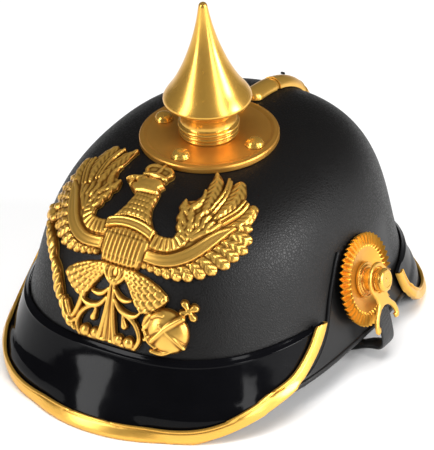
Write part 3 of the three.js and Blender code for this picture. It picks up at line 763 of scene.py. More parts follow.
@dataclass(frozen=True)
class Paper:
    """The studio's pale floor."""

    name: str = "pale_floor"
    colour: Colour = (0.93, 0.93, 0.93)

    def build(self, effects: Effects) -> bpy.types.Material:
        """Makes the material."""
        finish = Finish(self.name, effects)
        drift = finish.effect(effects.tone, Scale=3.0, Contrast=0.4).outputs["Mask"]
        low = tuple(0.985 * c for c in self.colour)
        colour = finish.graph.blend(drift, rgba(low), rgba(self.colour))
        finish.feed(Base_Color=colour, Roughness=0.7)
        return finish.material


# ------------------------------------------------------------------ mounting


class Bench:
    """Takes finished pieces: lays on the finish, ties them to the CAD and reports them."""

    def __init__(self, finishes: dict[str, bpy.types.Material]) -> None:
        """Keeps the finishes by name."""
        self.finishes = finishes

    def mount(self, piece: bpy.types.Object, finish: str, slot: str, *nodes: str) -> bpy.types.Object:
        """Dresses a piece and lets it stand for CAD nodes.

        Args:
            piece: The finished object.
            finish: Which finish covers it.
            slot: A material slot name; not used.
            nodes: The CAD nodes that it replaces.

        Returns:
            The piece.
        """
        piece.data.materials.append(self.finishes[finish])
        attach(piece, BODY)
        if nodes:
            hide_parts(*nodes)
        piece.data.calc_loop_triangles()
        log.info("%s: %d triangles, %s", piece.name, len(piece.data.loop_triangles), finish)
        return piece


# ------------------------------------------------------------------ skull and guards


@dataclass
class Shell:
    """The hollow bowl with the bead along its rim."""

    wall: float = 2.5
    arch: float = 2.2
    columns: int = 256
    rows: int = 128
    bead: Array = field(default_factory=lambda: table("""
        0.0 0.0, 0.45 0.1, 0.75 0.5, 0.8 1.1, 0.8 2.0, 0.7 2.6, 0.35 2.95, 0.05 3.1, 0.0 3.5"""))
    welt_line: Array = field(default_factory=lambda: table("""
        13 -56, 20 -52, 24.6 -41.3, 29.5 -34.4, 35.2 -28.7, 41.5 -24.9, 47.1 -22.3, 53.9 -18.9, 61.6 -14.2,
        68 -10, 74 -5"""))

    def ring(self, angle: Array, u: float, offset: float) -> Array:
        """One level ring; near the rim it arches up over each ear by arch * cos^4."""
        ring = SKULL.point(angle, u, offset)
        fade = 1 - smooth_step(0.0, 0.09, np.array(u))
        ring[:, 2] += self.arch * np.cos(angle) ** 4 * fade
        return ring

    def ear_share(self, points: Array) -> Array:
        """1 where the skull is smooth: behind the welt and under the rosette's middle."""
        x, y, z = points.T
        welt = np.interp(z, self.welt_line[:, 0], self.welt_line[:, 1])
        behind = smooth_step(0.0, 2.0, y - welt) * (1 - smooth_step(46.0, 58.0, y))
        return behind * (1 - smooth_step(58.0, 74.0, z)) * (np.abs(x) > 40)

    def build(self, bench: Bench) -> None:
        """Lofts the inside down from the crown and the outside back up to it."""
        angle = np.linspace(0, 2 * np.pi, self.columns, endpoint=False)
        tall = SKULL.crown_z - SKULL.rim_z
        shares = SKULL.profile_shares(self.rows)
        rise = self.bead[:, 1] / tall
        above = shares[shares > rise[-1] + 0.004]
        inner = [self.ring(angle, u, -self.wall) for u in above[::-2]] + [self.ring(angle, 0.0, -self.wall)]
        foot = [self.ring(angle, u, offset) for offset, u in zip(self.bead[:, 0], rise)]
        outer = [self.ring(angle, u, 0.0) for u in above]
        rings = np.array(inner + foot + outer)
        piece = loft("visual_shell", rings, sharp=50)
        set_attribute(piece, "ear", self.ear_share(rings.reshape(-1, 3)))
        bench.mount(piece, "grained", "grained_black", "shell")


@dataclass
class Guard:
    """A peak: a sheet ruled from a line on the skull to a free edge, with gold edging on the edge."""

    name: str
    half_edge: Array
    from_deg: float
    to_deg: float
    line_z: float
    drop: float
    power: float
    edging_width: float
    finish: str
    slot: str
    wall: float = 2.0
    bulge: float = 0.9
    clearance: float = 0.7
    near: float = 0.95
    foot_beyond: float = 1.5
    foot_depth: float = 2.2
    foot_below: float = 3.2
    stations: int = 260
    end_width: float = 1.0

    def __post_init__(self) -> None:
        """Lays the two lines that the sheet is ruled between, from the right end to the left one."""
        mirrored = self.half_edge[:0:-1] * np.array([-1, 1, 1])
        self.edge = Route(np.vstack([mirrored, self.half_edge]), soften=7.0)
        share = np.linspace(0, 1, 41)
        angle = np.radians(self.from_deg + (self.to_deg - self.from_deg) * share)
        z = self.line_z - self.drop * np.abs(2 * share - 1) ** self.power
        line = SKULL.point(angle, SKULL.height_share(np.zeros_like(z), z, 0.0), 0.0)
        self.line = Route(line if line[0, 0] < 0 else line[::-1])

    def face(self, v: Array, w: Array) -> Array:
        """The outer face: the ruling plus a bulge of sin(pi w), pushed clear of the skull."""
        start, end = self.line.at(v), self.edge.at(v)
        point = start + (end - start) * w[..., None]
        out = unit((point - np.array([0, SKULL.centre_y, 0])) * np.array([1, 1, 0]))
        point = point + out * (self.bulge * np.sin(np.pi * w))[..., None]
        return SKULL.keep_clear(point, self.clearance + self.wall, softness=1.2)

    def normal(self, v: Array, w: Array) -> Array:
        """The way out of the face: the cross product of its two slopes."""
        step = 0.004
        v0, v1 = np.maximum(v - step, 0), np.minimum(v + step, 1)
        w0, w1 = np.maximum(w - step, 0), np.minimum(w + step, 1)
        along = self.face(v1, w) - self.face(v0, w)
        across = self.face(v, w1) - self.face(v, w0)
        out = unit(np.cross(along, across))
        away = (self.face(v, w) - np.array([0, SKULL.centre_y, 0])) * np.array([1, 1, 0])
        return out * np.sign(np.sum(out * away, axis=-1, keepdims=True))

    def section(self, rows: Array) -> Array:
        """Sweeps a section along the guard.

        Args:
            rows: Columns are the distance back from the free edge, the lift off the face, the
                reach beyond the edge, and 1 where the row belongs to the flat foot.

        Returns:
            Points of shape (stations, rows, 3).
        """
        v = np.linspace(0, 1, self.stations)[:, None]
        back, lift, beyond, foot = rows.T
        ruling = self.edge.at(v[:, 0]) - self.line.at(v[:, 0])
        length = np.linalg.norm(ruling, axis=1)[:, None]
        full = smooth_step(0.0, 0.14, np.minimum(v, 1 - v))
        taper = self.end_width + (1 - self.end_width) * full
        w = np.clip(1 - back[None, :] * taper / length, 0.0, 1.0)
        v = np.broadcast_to(v, w.shape)
        point = self.face(v, w) + self.normal(v, w) * lift[None, :, None]
        point = point + unit(ruling)[:, None, :] * beyond[None, :, None]
        point = SKULL.keep_clear(point, self.clearance)
        share = np.clip((self.foot_below - point[..., 2]) / self.foot_below, 0, 1) * foot
        point[..., 2] = np.where(foot > 0, np.maximum(point[..., 2] - self.foot_depth * share, 0), point[..., 2])
        return point

    def sheet(self) -> Array:
        """Rings of the sheet: a lip that slopes off the skull, a fine ridge, and the face."""
        v = np.linspace(0, 1, self.stations)[:, None]
        length = np.linalg.norm(self.edge.at(v[:, 0]) - self.line.at(v[:, 0]), axis=1)[:, None]
        lip = table("""
            0 -1.95, 0.2 -1.7, 0.6 -1.5, 1.4 -1.2, 2.2 -0.85, 3.0 -0.4, 3.5 -0.05, 3.8 0.1, 4.1 0.12, 4.4 0.0,
            4.9 0.0""")
        scale = np.minimum(1.0, 0.5 * length / lip[-1, 0])
        near = lip[None, :, 0] * scale / length
        rest = near[:, -1:] + (1 - near[:, -1:]) * np.linspace(0, 1, 22)[None, 1:]
        w = np.hstack([near, rest])
        lift = np.concatenate([lip[:, 1], np.zeros(21)])
        v = np.broadcast_to(v, w.shape)
        face, normal = self.face(v, w), self.normal(v, w)
        outer = SKULL.keep_clear(face + normal * lift[None, :, None], self.clearance - 0.15)
        inner = SKULL.keep_clear(face - normal * self.wall, self.clearance - 0.2)
        return np.concatenate([outer, inner[:, ::-1]], axis=1)

    def edging(self) -> Array:
        """Rings of the edging: an inner bead, a flat band, a rolled edge and a flat foot."""
        width, near, beyond = self.edging_width, self.near, self.foot_beyond
        top = near + 1.2
        outside = np.array([
            [width, near, 0, 0], [width, top - 0.25, 0, 0], [width - 0.15, top + 0.1, 0, 0],
            [width - 0.5, top + 0.32, 0, 0], [width - 0.9, top + 0.32, 0, 0], [width - 1.3, top + 0.1, 0, 0],
            [width - 1.5, top - 0.35, 0, 0], [width - 1.8, top - 0.38, 0, 0], [width - 2.1, top - 0.1, 0, 0],
            [width - 3.0, top, 0, 0], [width - 4.0, top + 0.05, 0, 0], [1.0, top + 0.05, 0, 0],
            [0.3, top, 0, 0], [0, top - 0.12, 0.35, 0], [0, top - 0.5, 0.85, 0], [0, 1.1, 1.2, 0.6],
            [0, 0.6, beyond, 1],
        ])
        inside = np.array([
            [width - 0.2, near, 0, 0], [width - 0.5, near, 0, 0], [width - 0.8, near, 0, 0],
            [width - 1.1, near, 0, 0], [width - 1.5, near, 0, 0], [width - 1.8, near, 0, 0],
            [width - 2.2, near, 0, 0], [width - 3.0, near, 0, 0], [width - 3.6, near, 0, 0],
            [width - 4.2, near, 0, 0], [0.9, near, 0, 0], [0.3, near, 0.2, 0], [0, near, near, 0],
            [0, 0.2, near, 0], [0, -0.9, near, 0], [0, -self.wall, near, 0], [0, -self.wall, beyond, 1],
        ])
        return self.section(np.vstack([outside, inside[::-1]]))

    def build(self, bench: Bench) -> None:
        """Makes the sheet and its edging."""
        peak = loft(f"visual_{self.name}_peak", self.sheet(), Ends.LADDER, sharp=55)
        bench.mount(peak, self.finish, self.slot, f"{self.name}_peak")
        trim = loft(f"visual_{self.name}_trim", self.edging(), Ends.LADDER, sharp=60)
        bench.mount(trim, "trim_gold", "gold", f"{self.name}_trim")


FRONT_EDGE = table("""
    0 -133.1 1.9, 19.4 -131 1.9, 34.8 -125.7 1.9, 48.8 -117.4 2.1, 61.8 -106 4, 73 -95.8 8.5, 81.8 -85 13,
    87 -72.3 16.6, 90.2 -63 19, 91 -52.3 24.8, 91.2 -45.4 29.3, 91 -39.5 34, 90.6 -34.8 38.8, 90 -31.7 43.1""")
REAR_EDGE = table("""
    0 134.3 1.9, 20 132 1.9, 37.4 126.2 1.9, 52.8 116.4 1.9, 66.6 105.8 1.9, 75.8 97.7 2, 83.8 89 2.3,
    88.6 80.4 3, 91.4 71.8 4.8, 92.2 64.6 8.6, 92.6 57.8 14.2, 92.4 53.2 21.4, 91.6 50.6 27.6, 90.6 49 33""")


@dataclass
class Welt:
    """The narrow rib from the rim up under the rosette, with a fine line along its rear edge."""

    side: float
    node: str
    width: float = 2.4
    height: float = 1.5
    route: Array = field(default_factory=lambda: table("""
        -52 20, -47.4 21.6, -41.3 24.6, -34.4 29.5, -28.7 35.2, -24.9 41.5, -22.3 47.1, -18.9 53.9,
        -14.2 61.6, -10 68, -6 72.4"""))

    def build(self, bench: Bench) -> None:
        """Sweeps a low arch over the skull: at share s across, its height is h (1 - (2s-1)^4)."""
        path = Route(self.route)
        share = np.linspace(0, 1, 70)
        across = np.array([-1.0, -0.97, -0.8, -0.4, 0.0, 0.4, 0.62, 0.72, 0.86, 0.97, 1.0])
        lift = np.array([GAP, 0.9, 1.25, 1.45, self.height, 1.4, 1.2, 1.5, 1.5, 1.1, GAP])
        rings = []
        for spot, heading in zip(path.at(share), path.heading(share)):
            normal = np.array([heading[1], -heading[0]])
            ends = spot[None, :] + normal[None, :] * (across[[0, 5, 10], None] * self.width / 2)
            seats = [SKULL.seat(y, z, self.side) for y, z in ends]
            points = np.array([seat[0] for seat in seats])
            outs = np.array([seat[1] for seat in seats])
            columns = [np.interp(across, (-1, 0, 1), points[:, k]) for k in range(3)]
            outward = [np.interp(across, (-1, 0, 1), outs[:, k]) for k in range(3)]
            rings.append(np.stack(columns, axis=1) + np.stack(outward, axis=1) * lift[:, None])
        piece = loft(f"visual_{self.node}", np.array(rings), sharp=50)
        bench.mount(piece, "satin", "satin_black", self.node)


# ------------------------------------------------------------------ crown


def crown_place() -> Place:
    """The crown's own directions, tilted forward with the plate."""
    tilt = SKULL.crown_tilt
    y, z = np.array([0, math.cos(tilt), math.sin(tilt)]), np.array([0, -math.sin(tilt), math.cos(tilt)])
    return Place(np.array([0, SKULL.plate_y, 122.2]), np.array([1.0, 0, 0]), y, z)


@dataclass
class Crown:
    """The round plate with its four domed studs, and the spike on its ringed neck."""

    plate: Array = field(default_factory=lambda: table("""
        0 1.9, 12 1.9, 33.4 1.9, 34.0 1.8, 34.6 1.75, 35.2 2.0, 36.0 2.35, 36.8 2.4, 37.5 2.1, 38.0 1.95,
        38.5 1.95, 38.8 1.6, 39.1 1.0, 39.1 0.2, 39.1 -1.7, 38.4 -2.0, 34.5 -0.9, 0 -0.7"""))
    stud: Array = field(default_factory=lambda: table("""
        5.5 2.2, 5.5 2.45, 5.3 2.7, 5.05 2.85, 4.95 3.2, 4.75 3.8, 4.3 4.5, 3.6 5.1, 2.7 5.55, 1.7 5.8,
        0.8 5.88, 0.05 5.9"""))
    neck: Array = field(default_factory=lambda: table("""
        0.1 2.2, 16.4 2.2, 16.6 2.4, 16.6 3.3, 15.9 3.7, 15.9 4.1, 16.5 4.4, 16.9 4.9, 16.9 5.7, 16.4 6.2,
        15.9 6.5, 15.9 6.9, 16.6 7.2, 17.2 7.8, 17.3 8.5, 17.0 9.2, 16.3 9.7, 15.7 10.2"""))
    bulb: Array = field(default_factory=lambda: table("""
        15.7 10.2, 15.3 12, 15.25 14, 15.7 16.2, 17.4 18.4, 20.4 20.6, 23.2 22.4, 24.5 23.5, 24.8 24.7,
        24.3 26.1, 22.8 28.5, 20 32.4, 17.2 37, 14.6 42, 12.2 47.3, 10 53, 8.2 58, 6.4 64, 4.6 71, 3.2 78,
        2.6 81.4, 2.3 82.6, 1.7 83.5, 0.9 83.9, 0.05 83.98"""))

    def build(self, bench: Bench) -> None:
        """Turns the plate, the studs and the spike round the tilted axis."""
        place = crown_place()
        plate = turned(place, subdivide(round_corners(self.plate, 0.5), 2.5), 160)
        piece = loft("visual_crown_plate", plate, sharp=60)
        # Painted shade: the plate wears the darker copy of the gold.
        bench.mount(piece, "plate_gold_shaded", "gold", "crown_plate")
        for i in range(4):
            angle = i * math.pi / 2
            centre = place.put(np.array([29.6 * math.cos(angle), 29.6 * math.sin(angle), 0.0]))
            stud = turned(Place(centre, place.x, place.y, place.z), round_corners(self.stud, 0.4, 3), 48)
            piece = loft(f"visual_crown_stud_{i + 1}", stud, sharp=60)
            bench.mount(piece, "spike_gold", "gold", f"crown_stud_{i + 1}")
        outline = np.vstack([round_corners(self.neck, 0.3), Route(self.bulb, samples=150).path[1:]])
        piece = loft("visual_spike", turned(place, outline, 144), sharp=60)
        bench.mount(piece, "spike_gold", "gold", "spike")


# ------------------------------------------------------------------ spine and vent


@dataclass
class BackSpine:
    """The half-round strip down the back, the vent's sleeve on it, and the sleeve's small knob."""

    start_y: float = 39.2
    end_z: float = 39.5
    half_width: float = 6.0
    height: float = 5.4
    lift: float = 0.5
    sink: float = 0.8
    sheet: float = 0.6
    sleeve_from: float = 64.0
    sleeve_to: float = 89.2
    knob_y: float = 75.4

    def __post_init__(self) -> None:
        """Lays the line down the middle of the back."""
        u = 1 - np.linspace(0, 1, 600)[1:] ** 2
        line = SKULL.point(np.full_like(u, math.pi / 2), u, 0.0)
        line = line[(line[:, 1] > self.start_y) & (line[:, 2] > self.end_z)]
        self.route = Route(line[::6], samples=900)

    def ring(self, share: Array, width: Array, height: Array, lift: Array, count: int = 25) -> Array:
        """Half-round rings: (w cos a, h sin a) over the back line, for a from 0 to pi.

        Args:
            share: Places along the back line, from 0 to 1.
            width: Half-widths w there.
            height: Heights h there.
            lift: How far each ring's foot stands off the line.
            count: How many points a ring has.

        Returns:
            Points of shape (places, count, 3).
        """
        angle = np.linspace(0, np.pi, count)[None, :, None]
        spot, heading = self.route.at(share)[:, None, :], self.route.heading(share)[:, None, :]
        out = np.stack([0 * heading[..., 0], -heading[..., 2], heading[..., 1]], axis=-1)
        side = np.array([1.0, 0, 0])
        rise = lift[:, None, None] + height[:, None, None] * np.sin(angle)
        return spot + side * width[:, None, None] * np.cos(angle) + out * rise

    def build(self, bench: Bench) -> None:
        """Makes the strip, the sleeve and the knob."""
        share = np.linspace(0, 1, 300)
        walked = share * self.route.length
        nose = np.sqrt(np.clip(1 - np.clip(1 - walked / 5.0, 0, 1) ** 2, 0.02, 1))
        y = self.route.at(share)[:, 1]
        under = smooth_step(60.5, 61.5, y) * (1 - smooth_step(91.5, 92.5, y))
        width = (self.half_width - self.sink * under) * nose
        height = (self.height - self.sink * under) * nose
        strip = self.ring(share, width, height, np.full(300, self.lift))
        bench.mount(loft("visual_spine", strip, sharp=60), "trim_gold", "gold", "spine")
        self._sleeve(bench)
        self._knob(bench)

    def _sleeve(self, bench: Bench) -> None:
        """The sleeve, with a raised ring round each of its ends."""
        y = self.route.path[:, 1]
        ends = np.interp((self.sleeve_from, self.sleeve_to), y, self.route.share)
        share = np.linspace(ends[0], ends[1], 120)
        walked = (share - ends[0]) * self.route.length
        span = walked[-1]
        rim = np.maximum(1 - smooth_step(0.9, 1.3, walked), smooth_step(span - 1.3, span - 0.9, walked))
        inner = self.half_width - self.sink + GAP
        tall = self.height - self.sink + GAP
        lift = np.full(120, self.lift)
        thick = self.sheet * (0.72 + 0.4 * rim)
        outside = self.ring(share, inner + thick, tall + thick, lift)
        inside = self.ring(share, np.full(120, inner), np.full(120, tall), lift)
        sleeve = np.concatenate([outside, inside[:, ::-1]], axis=1)
        bench.mount(loft("visual_vent_slide", sleeve, Ends.LADDER, sharp=50), "trim_gold", "gold", "vent_slide")

    def _knob(self, bench: Bench) -> None:
        """A turned knob on top of the sleeve."""
        share = np.interp(self.knob_y - 1.5, self.route.path[:, 1], self.route.share)
        heading = self.route.heading(np.array(share))
        out = np.array([0, -heading[2], heading[1]])
        foot = self.route.at(np.array(share)) + out * (self.lift + self.height - self.sink + GAP + self.sheet)
        outline = table("0.05 0.3, 1.3 0.3, 1.3 1.0, 1.25 1.2, 0.9 1.45, 0.4 1.5, 0.05 1.5")
        place = Place(foot, np.array([1.0, 0, 0]), np.cross(out, [1.0, 0, 0]), out)
        knob = turned(place, round_corners(outline, 0.15, 3), 28)
        bench.mount(loft("visual_vent_knob", knob), "satin", "satin_black", "vent_knob")


# ------------------------------------------------------------------ raised drawings


class Relief:
    """A raised drawing on a flat grid. Each shape adds its height, and the highest one shows.

    `inside` holds how deep a place lies within the drawing's outline, negative outside it.
    """

    def __init__(self, low: tuple[float, float], high: tuple[float, float], step: float, rim: float) -> None:
        """Lays an empty grid from `low` to `high`; `rim` is the height at the outline."""
        self.step = step
        self.rim = rim
        self.low = np.array(low)
        across = np.arange(low[0], high[0] + step, step)
        up = np.arange(low[1], high[1] + step, step)
        self.u, self.v = np.meshgrid(across, up)
        self.height = np.full(self.u.shape, rim)
        self.inside = np.full(self.u.shape, -4.0)

    def _window(self, points: Array, margin: float) -> tuple[slice, slice]:
        """The rows and columns that lie within `margin` of some points."""
        low = ((points.min(axis=0) - margin - self.low) / self.step).astype(int)
        high = ((points.max(axis=0) + margin - self.low) / self.step).astype(int) + 2
        low = np.maximum(low, 0)
        return slice(low[1], max(high[1], 0)), slice(low[0], max(high[0], 0))

    def _lay(self, window: tuple[slice, slice], inside: Array, height: Array, over: bool) -> None:
        """Keeps the higher of the old and the new height, or the new one where `over` is set."""
        old = self.height[window]
        new = height if over else np.maximum(old, height)
        self.height[window] = np.where(inside > 0, new, old)
        self.inside[window] = np.maximum(self.inside[window], inside)

    def _nearest(self, window: tuple[slice, slice], path: Route) -> tuple[Array, Array]:
        """Distance walked along a path and signed distance across it, for a window's places."""
        count = max(int(path.length / 0.6), 12)
        share = np.linspace(0, 1, count)
        spots, ways = path.at(share), path.heading(share)
        u, v = self.u[window].ravel(), self.v[window].ravel()
        square = (u[:, None] - spots[None, :, 0]) ** 2 + (v[:, None] - spots[None, :, 1]) ** 2
        near = np.argmin(square, axis=1)
        du, dv = u - spots[near, 0], v - spots[near, 1]
        along = share[near] * path.length + du * ways[near, 0] + dv * ways[near, 1]
        across = du * -ways[near, 1] + dv * ways[near, 0]
        shape = self.u[window].shape
        return along.reshape(shape), across.reshape(shape)

    def stroke(
        self, points: Array, widths: Sequence[float], top: float, bevel: float = 0.0,
        pattern: Optional[Pattern] = None, over: bool = False, foot: Optional[float] = None,
    ) -> None:
        """Adds a band along a path, w(s) to each side of it, with round ends.

        Across the band the height is foot + (top - foot) sqrt(1 - (d/w)^2), or with a bevel it
        rises within that distance of the edge and is flat in the middle.

        Args:
            points: The path's points, shape (n, 2).
            widths: Half-widths, evenly spaced along it.
            top: Height of the middle.
            bevel: Width of the slope at a flat band's edges, or 0 for a round one.
            pattern: Adds to the height from (walked, across, half-width, inside).
            over: Whether it covers what is higher.
            foot: Height at its edges; by default the outline's.
        """
        path = Route(points, samples=240)
        window = self._window(path.path, max(widths) + 1.0)
        along, across = self._nearest(window, path)
        held = np.clip(along, 0, path.length)
        half = np.interp(held / path.length, np.linspace(0, 1, len(widths)), widths)
        inside = half - np.hypot(across, along - held)
        foot = self.rim if foot is None else foot
        if bevel > 0:
            height = foot + (top - foot) * smooth_step(0, bevel, inside)
        else:
            share = np.clip(1 - inside / np.maximum(half, 1e-6), 0, 1)
            height = foot + (top - foot) * np.sqrt(np.maximum(1 - share**2, 0))
        if pattern:
            height = height + pattern(along, across, half, inside)
        self._lay(window, inside, height, over)

    def outline_depth(self, window: tuple[slice, slice], outline: Array) -> Array:
        """How deep places lie inside a closed outline: its distance, signed by a crossing count."""
        start, end = outline, np.roll(outline, -1, axis=0)
        u, v = self.u[window].ravel()[:, None], self.v[window].ravel()[:, None]
        side = end - start
        share = ((u - start[:, 0]) * side[:, 0] + (v - start[:, 1]) * side[:, 1]) / (side**2).sum(axis=1)
        share = np.clip(share, 0, 1)
        far = np.hypot(u - start[:, 0] - share * side[:, 0], v - start[:, 1] - share * side[:, 1]).min(axis=1)
        crosses = (start[:, 1] > v) != (end[:, 1] > v)
        rise = np.where(side[:, 1] == 0, 1e-9, side[:, 1])
        right = u < start[:, 0] + (v - start[:, 1]) * side[:, 0] / rise
        odd = (crosses & right).sum(axis=1) % 2 == 1
        return np.where(odd, far, -far).reshape(self.u[window].shape)

    def patch(
        self, outline: Array, top: float, bevel: float,
        pattern: Optional[Callable[[Array, Array, Array], Array]] = None, over: bool = False,
    ) -> None:
        """Adds a flat shape with sloping edges.

        Args:
            outline: Its closed outline.
            top: Its height.
            bevel: How far in the slope of its edges goes.
            pattern: Height added to it, from (u, v, inside).
            over: Whether it covers what is there, where otherwise the higher one shows.
        """
        window = self._window(outline, 1.0)
        inside = self.outline_depth(window, outline)
        height = self.rim + (top - self.rim) * smooth_step(0, bevel, inside)
        if pattern:
            height = height + pattern(self.u[window], self.v[window], inside)
        self._lay(window, inside, height, over)

    def dome(self, centre: tuple[float, float], radius: float, top: float, foot: Optional[float] = None) -> None:
        """Adds a round boss: foot + (top - foot) sqrt(1 - (r/R)^2)."""
        foot = self.rim if foot is None else foot
        window = self._window(np.array([centre, centre]), radius + 1)
        far = np.hypot(self.u[window] - centre[0], self.v[window] - centre[1])
        height = foot + (top - foot) * np.sqrt(np.clip(1 - (far / radius) ** 2, 0, 1))
        self._lay(window, radius - far, height, over=False)

    def groove(self, points: Array, width: float, depth: float) -> None:
        """Presses a line into what is there: depth * exp(-(d/width)^2), fading at its ends."""
        path = Route(points, samples=160)
        window = self._window(path.path, 3 * width)
        along, across = self._nearest(window, path)
        over = np.abs(along - np.clip(along, 0, path.length))
        self.height[window] -= depth * bell(np.hypot(across, over), width)

    def hole(self, centre: tuple[float, float], radius: float) -> None:
        """Takes a round hole out of the drawing."""
        self.inside = np.minimum(self.inside, np.hypot(self.u - centre[0], self.v - centre[1]) - radius)

    def even_out(self, passes: int) -> None:
        """Softens the height with its neighbours', within the outline, by weights 1 2 1."""
        weight = (self.inside > 0).astype(float)
        for _ in range(passes):
            total, share = self.height * weight, weight.copy()
            for axis in (0, 1):
                total = 2 * total + np.roll(total, 1, axis) + np.roll(total, -1, axis)
                share = 2 * share + np.roll(share, 1, axis) + np.roll(share, -1, axis)
            self.height = np.where(weight > 0, total / np.maximum(share, 1e-9), self.height)

    def hollows(self, reach: int) -> Array:
        """How far each place lies below the mean of its surroundings, `reach` cells each way."""
        weight = (self.inside > 0).astype(float)
        total, share = self.height * weight, weight.copy()
        for axis in (0, 1):
            total = sum(np.roll(total, k, axis) for k in range(-reach, reach + 1))
            share = sum(np.roll(share, k, axis) for k in range(-reach, reach + 1))
        return total / np.maximum(share, 1e-9) - self.height

    def solid(self, name: str, lay: Callable[[Array, Array, Array], Array], sharp: float) -> bpy.types.Object:
        """Turns the drawing into a closed body with a flat back.

        Cells that reach inside the outline are kept, and their outer corners are drawn in to it
        along the slope of `inside`.

        Args:
            name: The piece's name.
            lay: Carries (u, v, height) to points of the part.
            sharp: Edges that bend more than this many degrees stay sharp.

        Returns:
            The object, with a vertex attribute of painted shade, from 0 on ridges to 1 in hollows.
        """
        deep = self.inside > 0
        keep = deep[:-1, :-1] | deep[1:, :-1] | deep[:-1, 1:] | deep[1:, 1:]
        slope_v, slope_u = np.gradient(self.inside, self.step)
        steep = np.maximum(slope_u**2 + slope_v**2, 0.3)
        pull = np.clip(-self.inside / steep, 0, 1.3 * self.step)
        u, v = self.u + slope_u * pull, self.v + slope_v * pull
        height = np.where(deep, self.height, self.rim)
        # Painted shade: the mask that darkens the gold in the relief's hollows.
        hollow_shade = smooth_step(-0.12, 0.36, self.hollows(4))
        columns = self.u.shape[1]
        row, column = np.nonzero(keep)
        corner = row * columns + column
        quads = np.stack([corner, corner + 1, corner + columns + 1, corner + columns], axis=1)
        used, quads = np.unique(quads, return_inverse=True)
        quads = quads.reshape(-1, 4)
        flat = [values.ravel()[used] for values in (u, v, height)]
        front = lay(*flat)
        back = lay(flat[0], flat[1], np.zeros(len(used)))
        sides = np.stack([quads, np.roll(quads, -1, axis=1)], axis=-1).reshape(-1, 2)
        order = np.sort(sides, axis=1)
        _, first, count = np.unique(order[:, 0] * len(used) + order[:, 1], return_index=True, return_counts=True)
        a, b = sides[first[count == 1]].T
        skirt = np.stack([b, a, a + len(used), b + len(used)], axis=1)
        faces = [quads, quads[:, ::-1] + len(used), skirt]
        piece = mesh_object(name, np.vstack([front, back]), faces, sharp)
        # The painted-shade mask goes to the material as a vertex attribute.
        set_attribute(piece, "hollow_shade", hollow_shade.ravel()[used])
        return piece


# ------------------------------------------------------------------ rosettes, posts and hooks


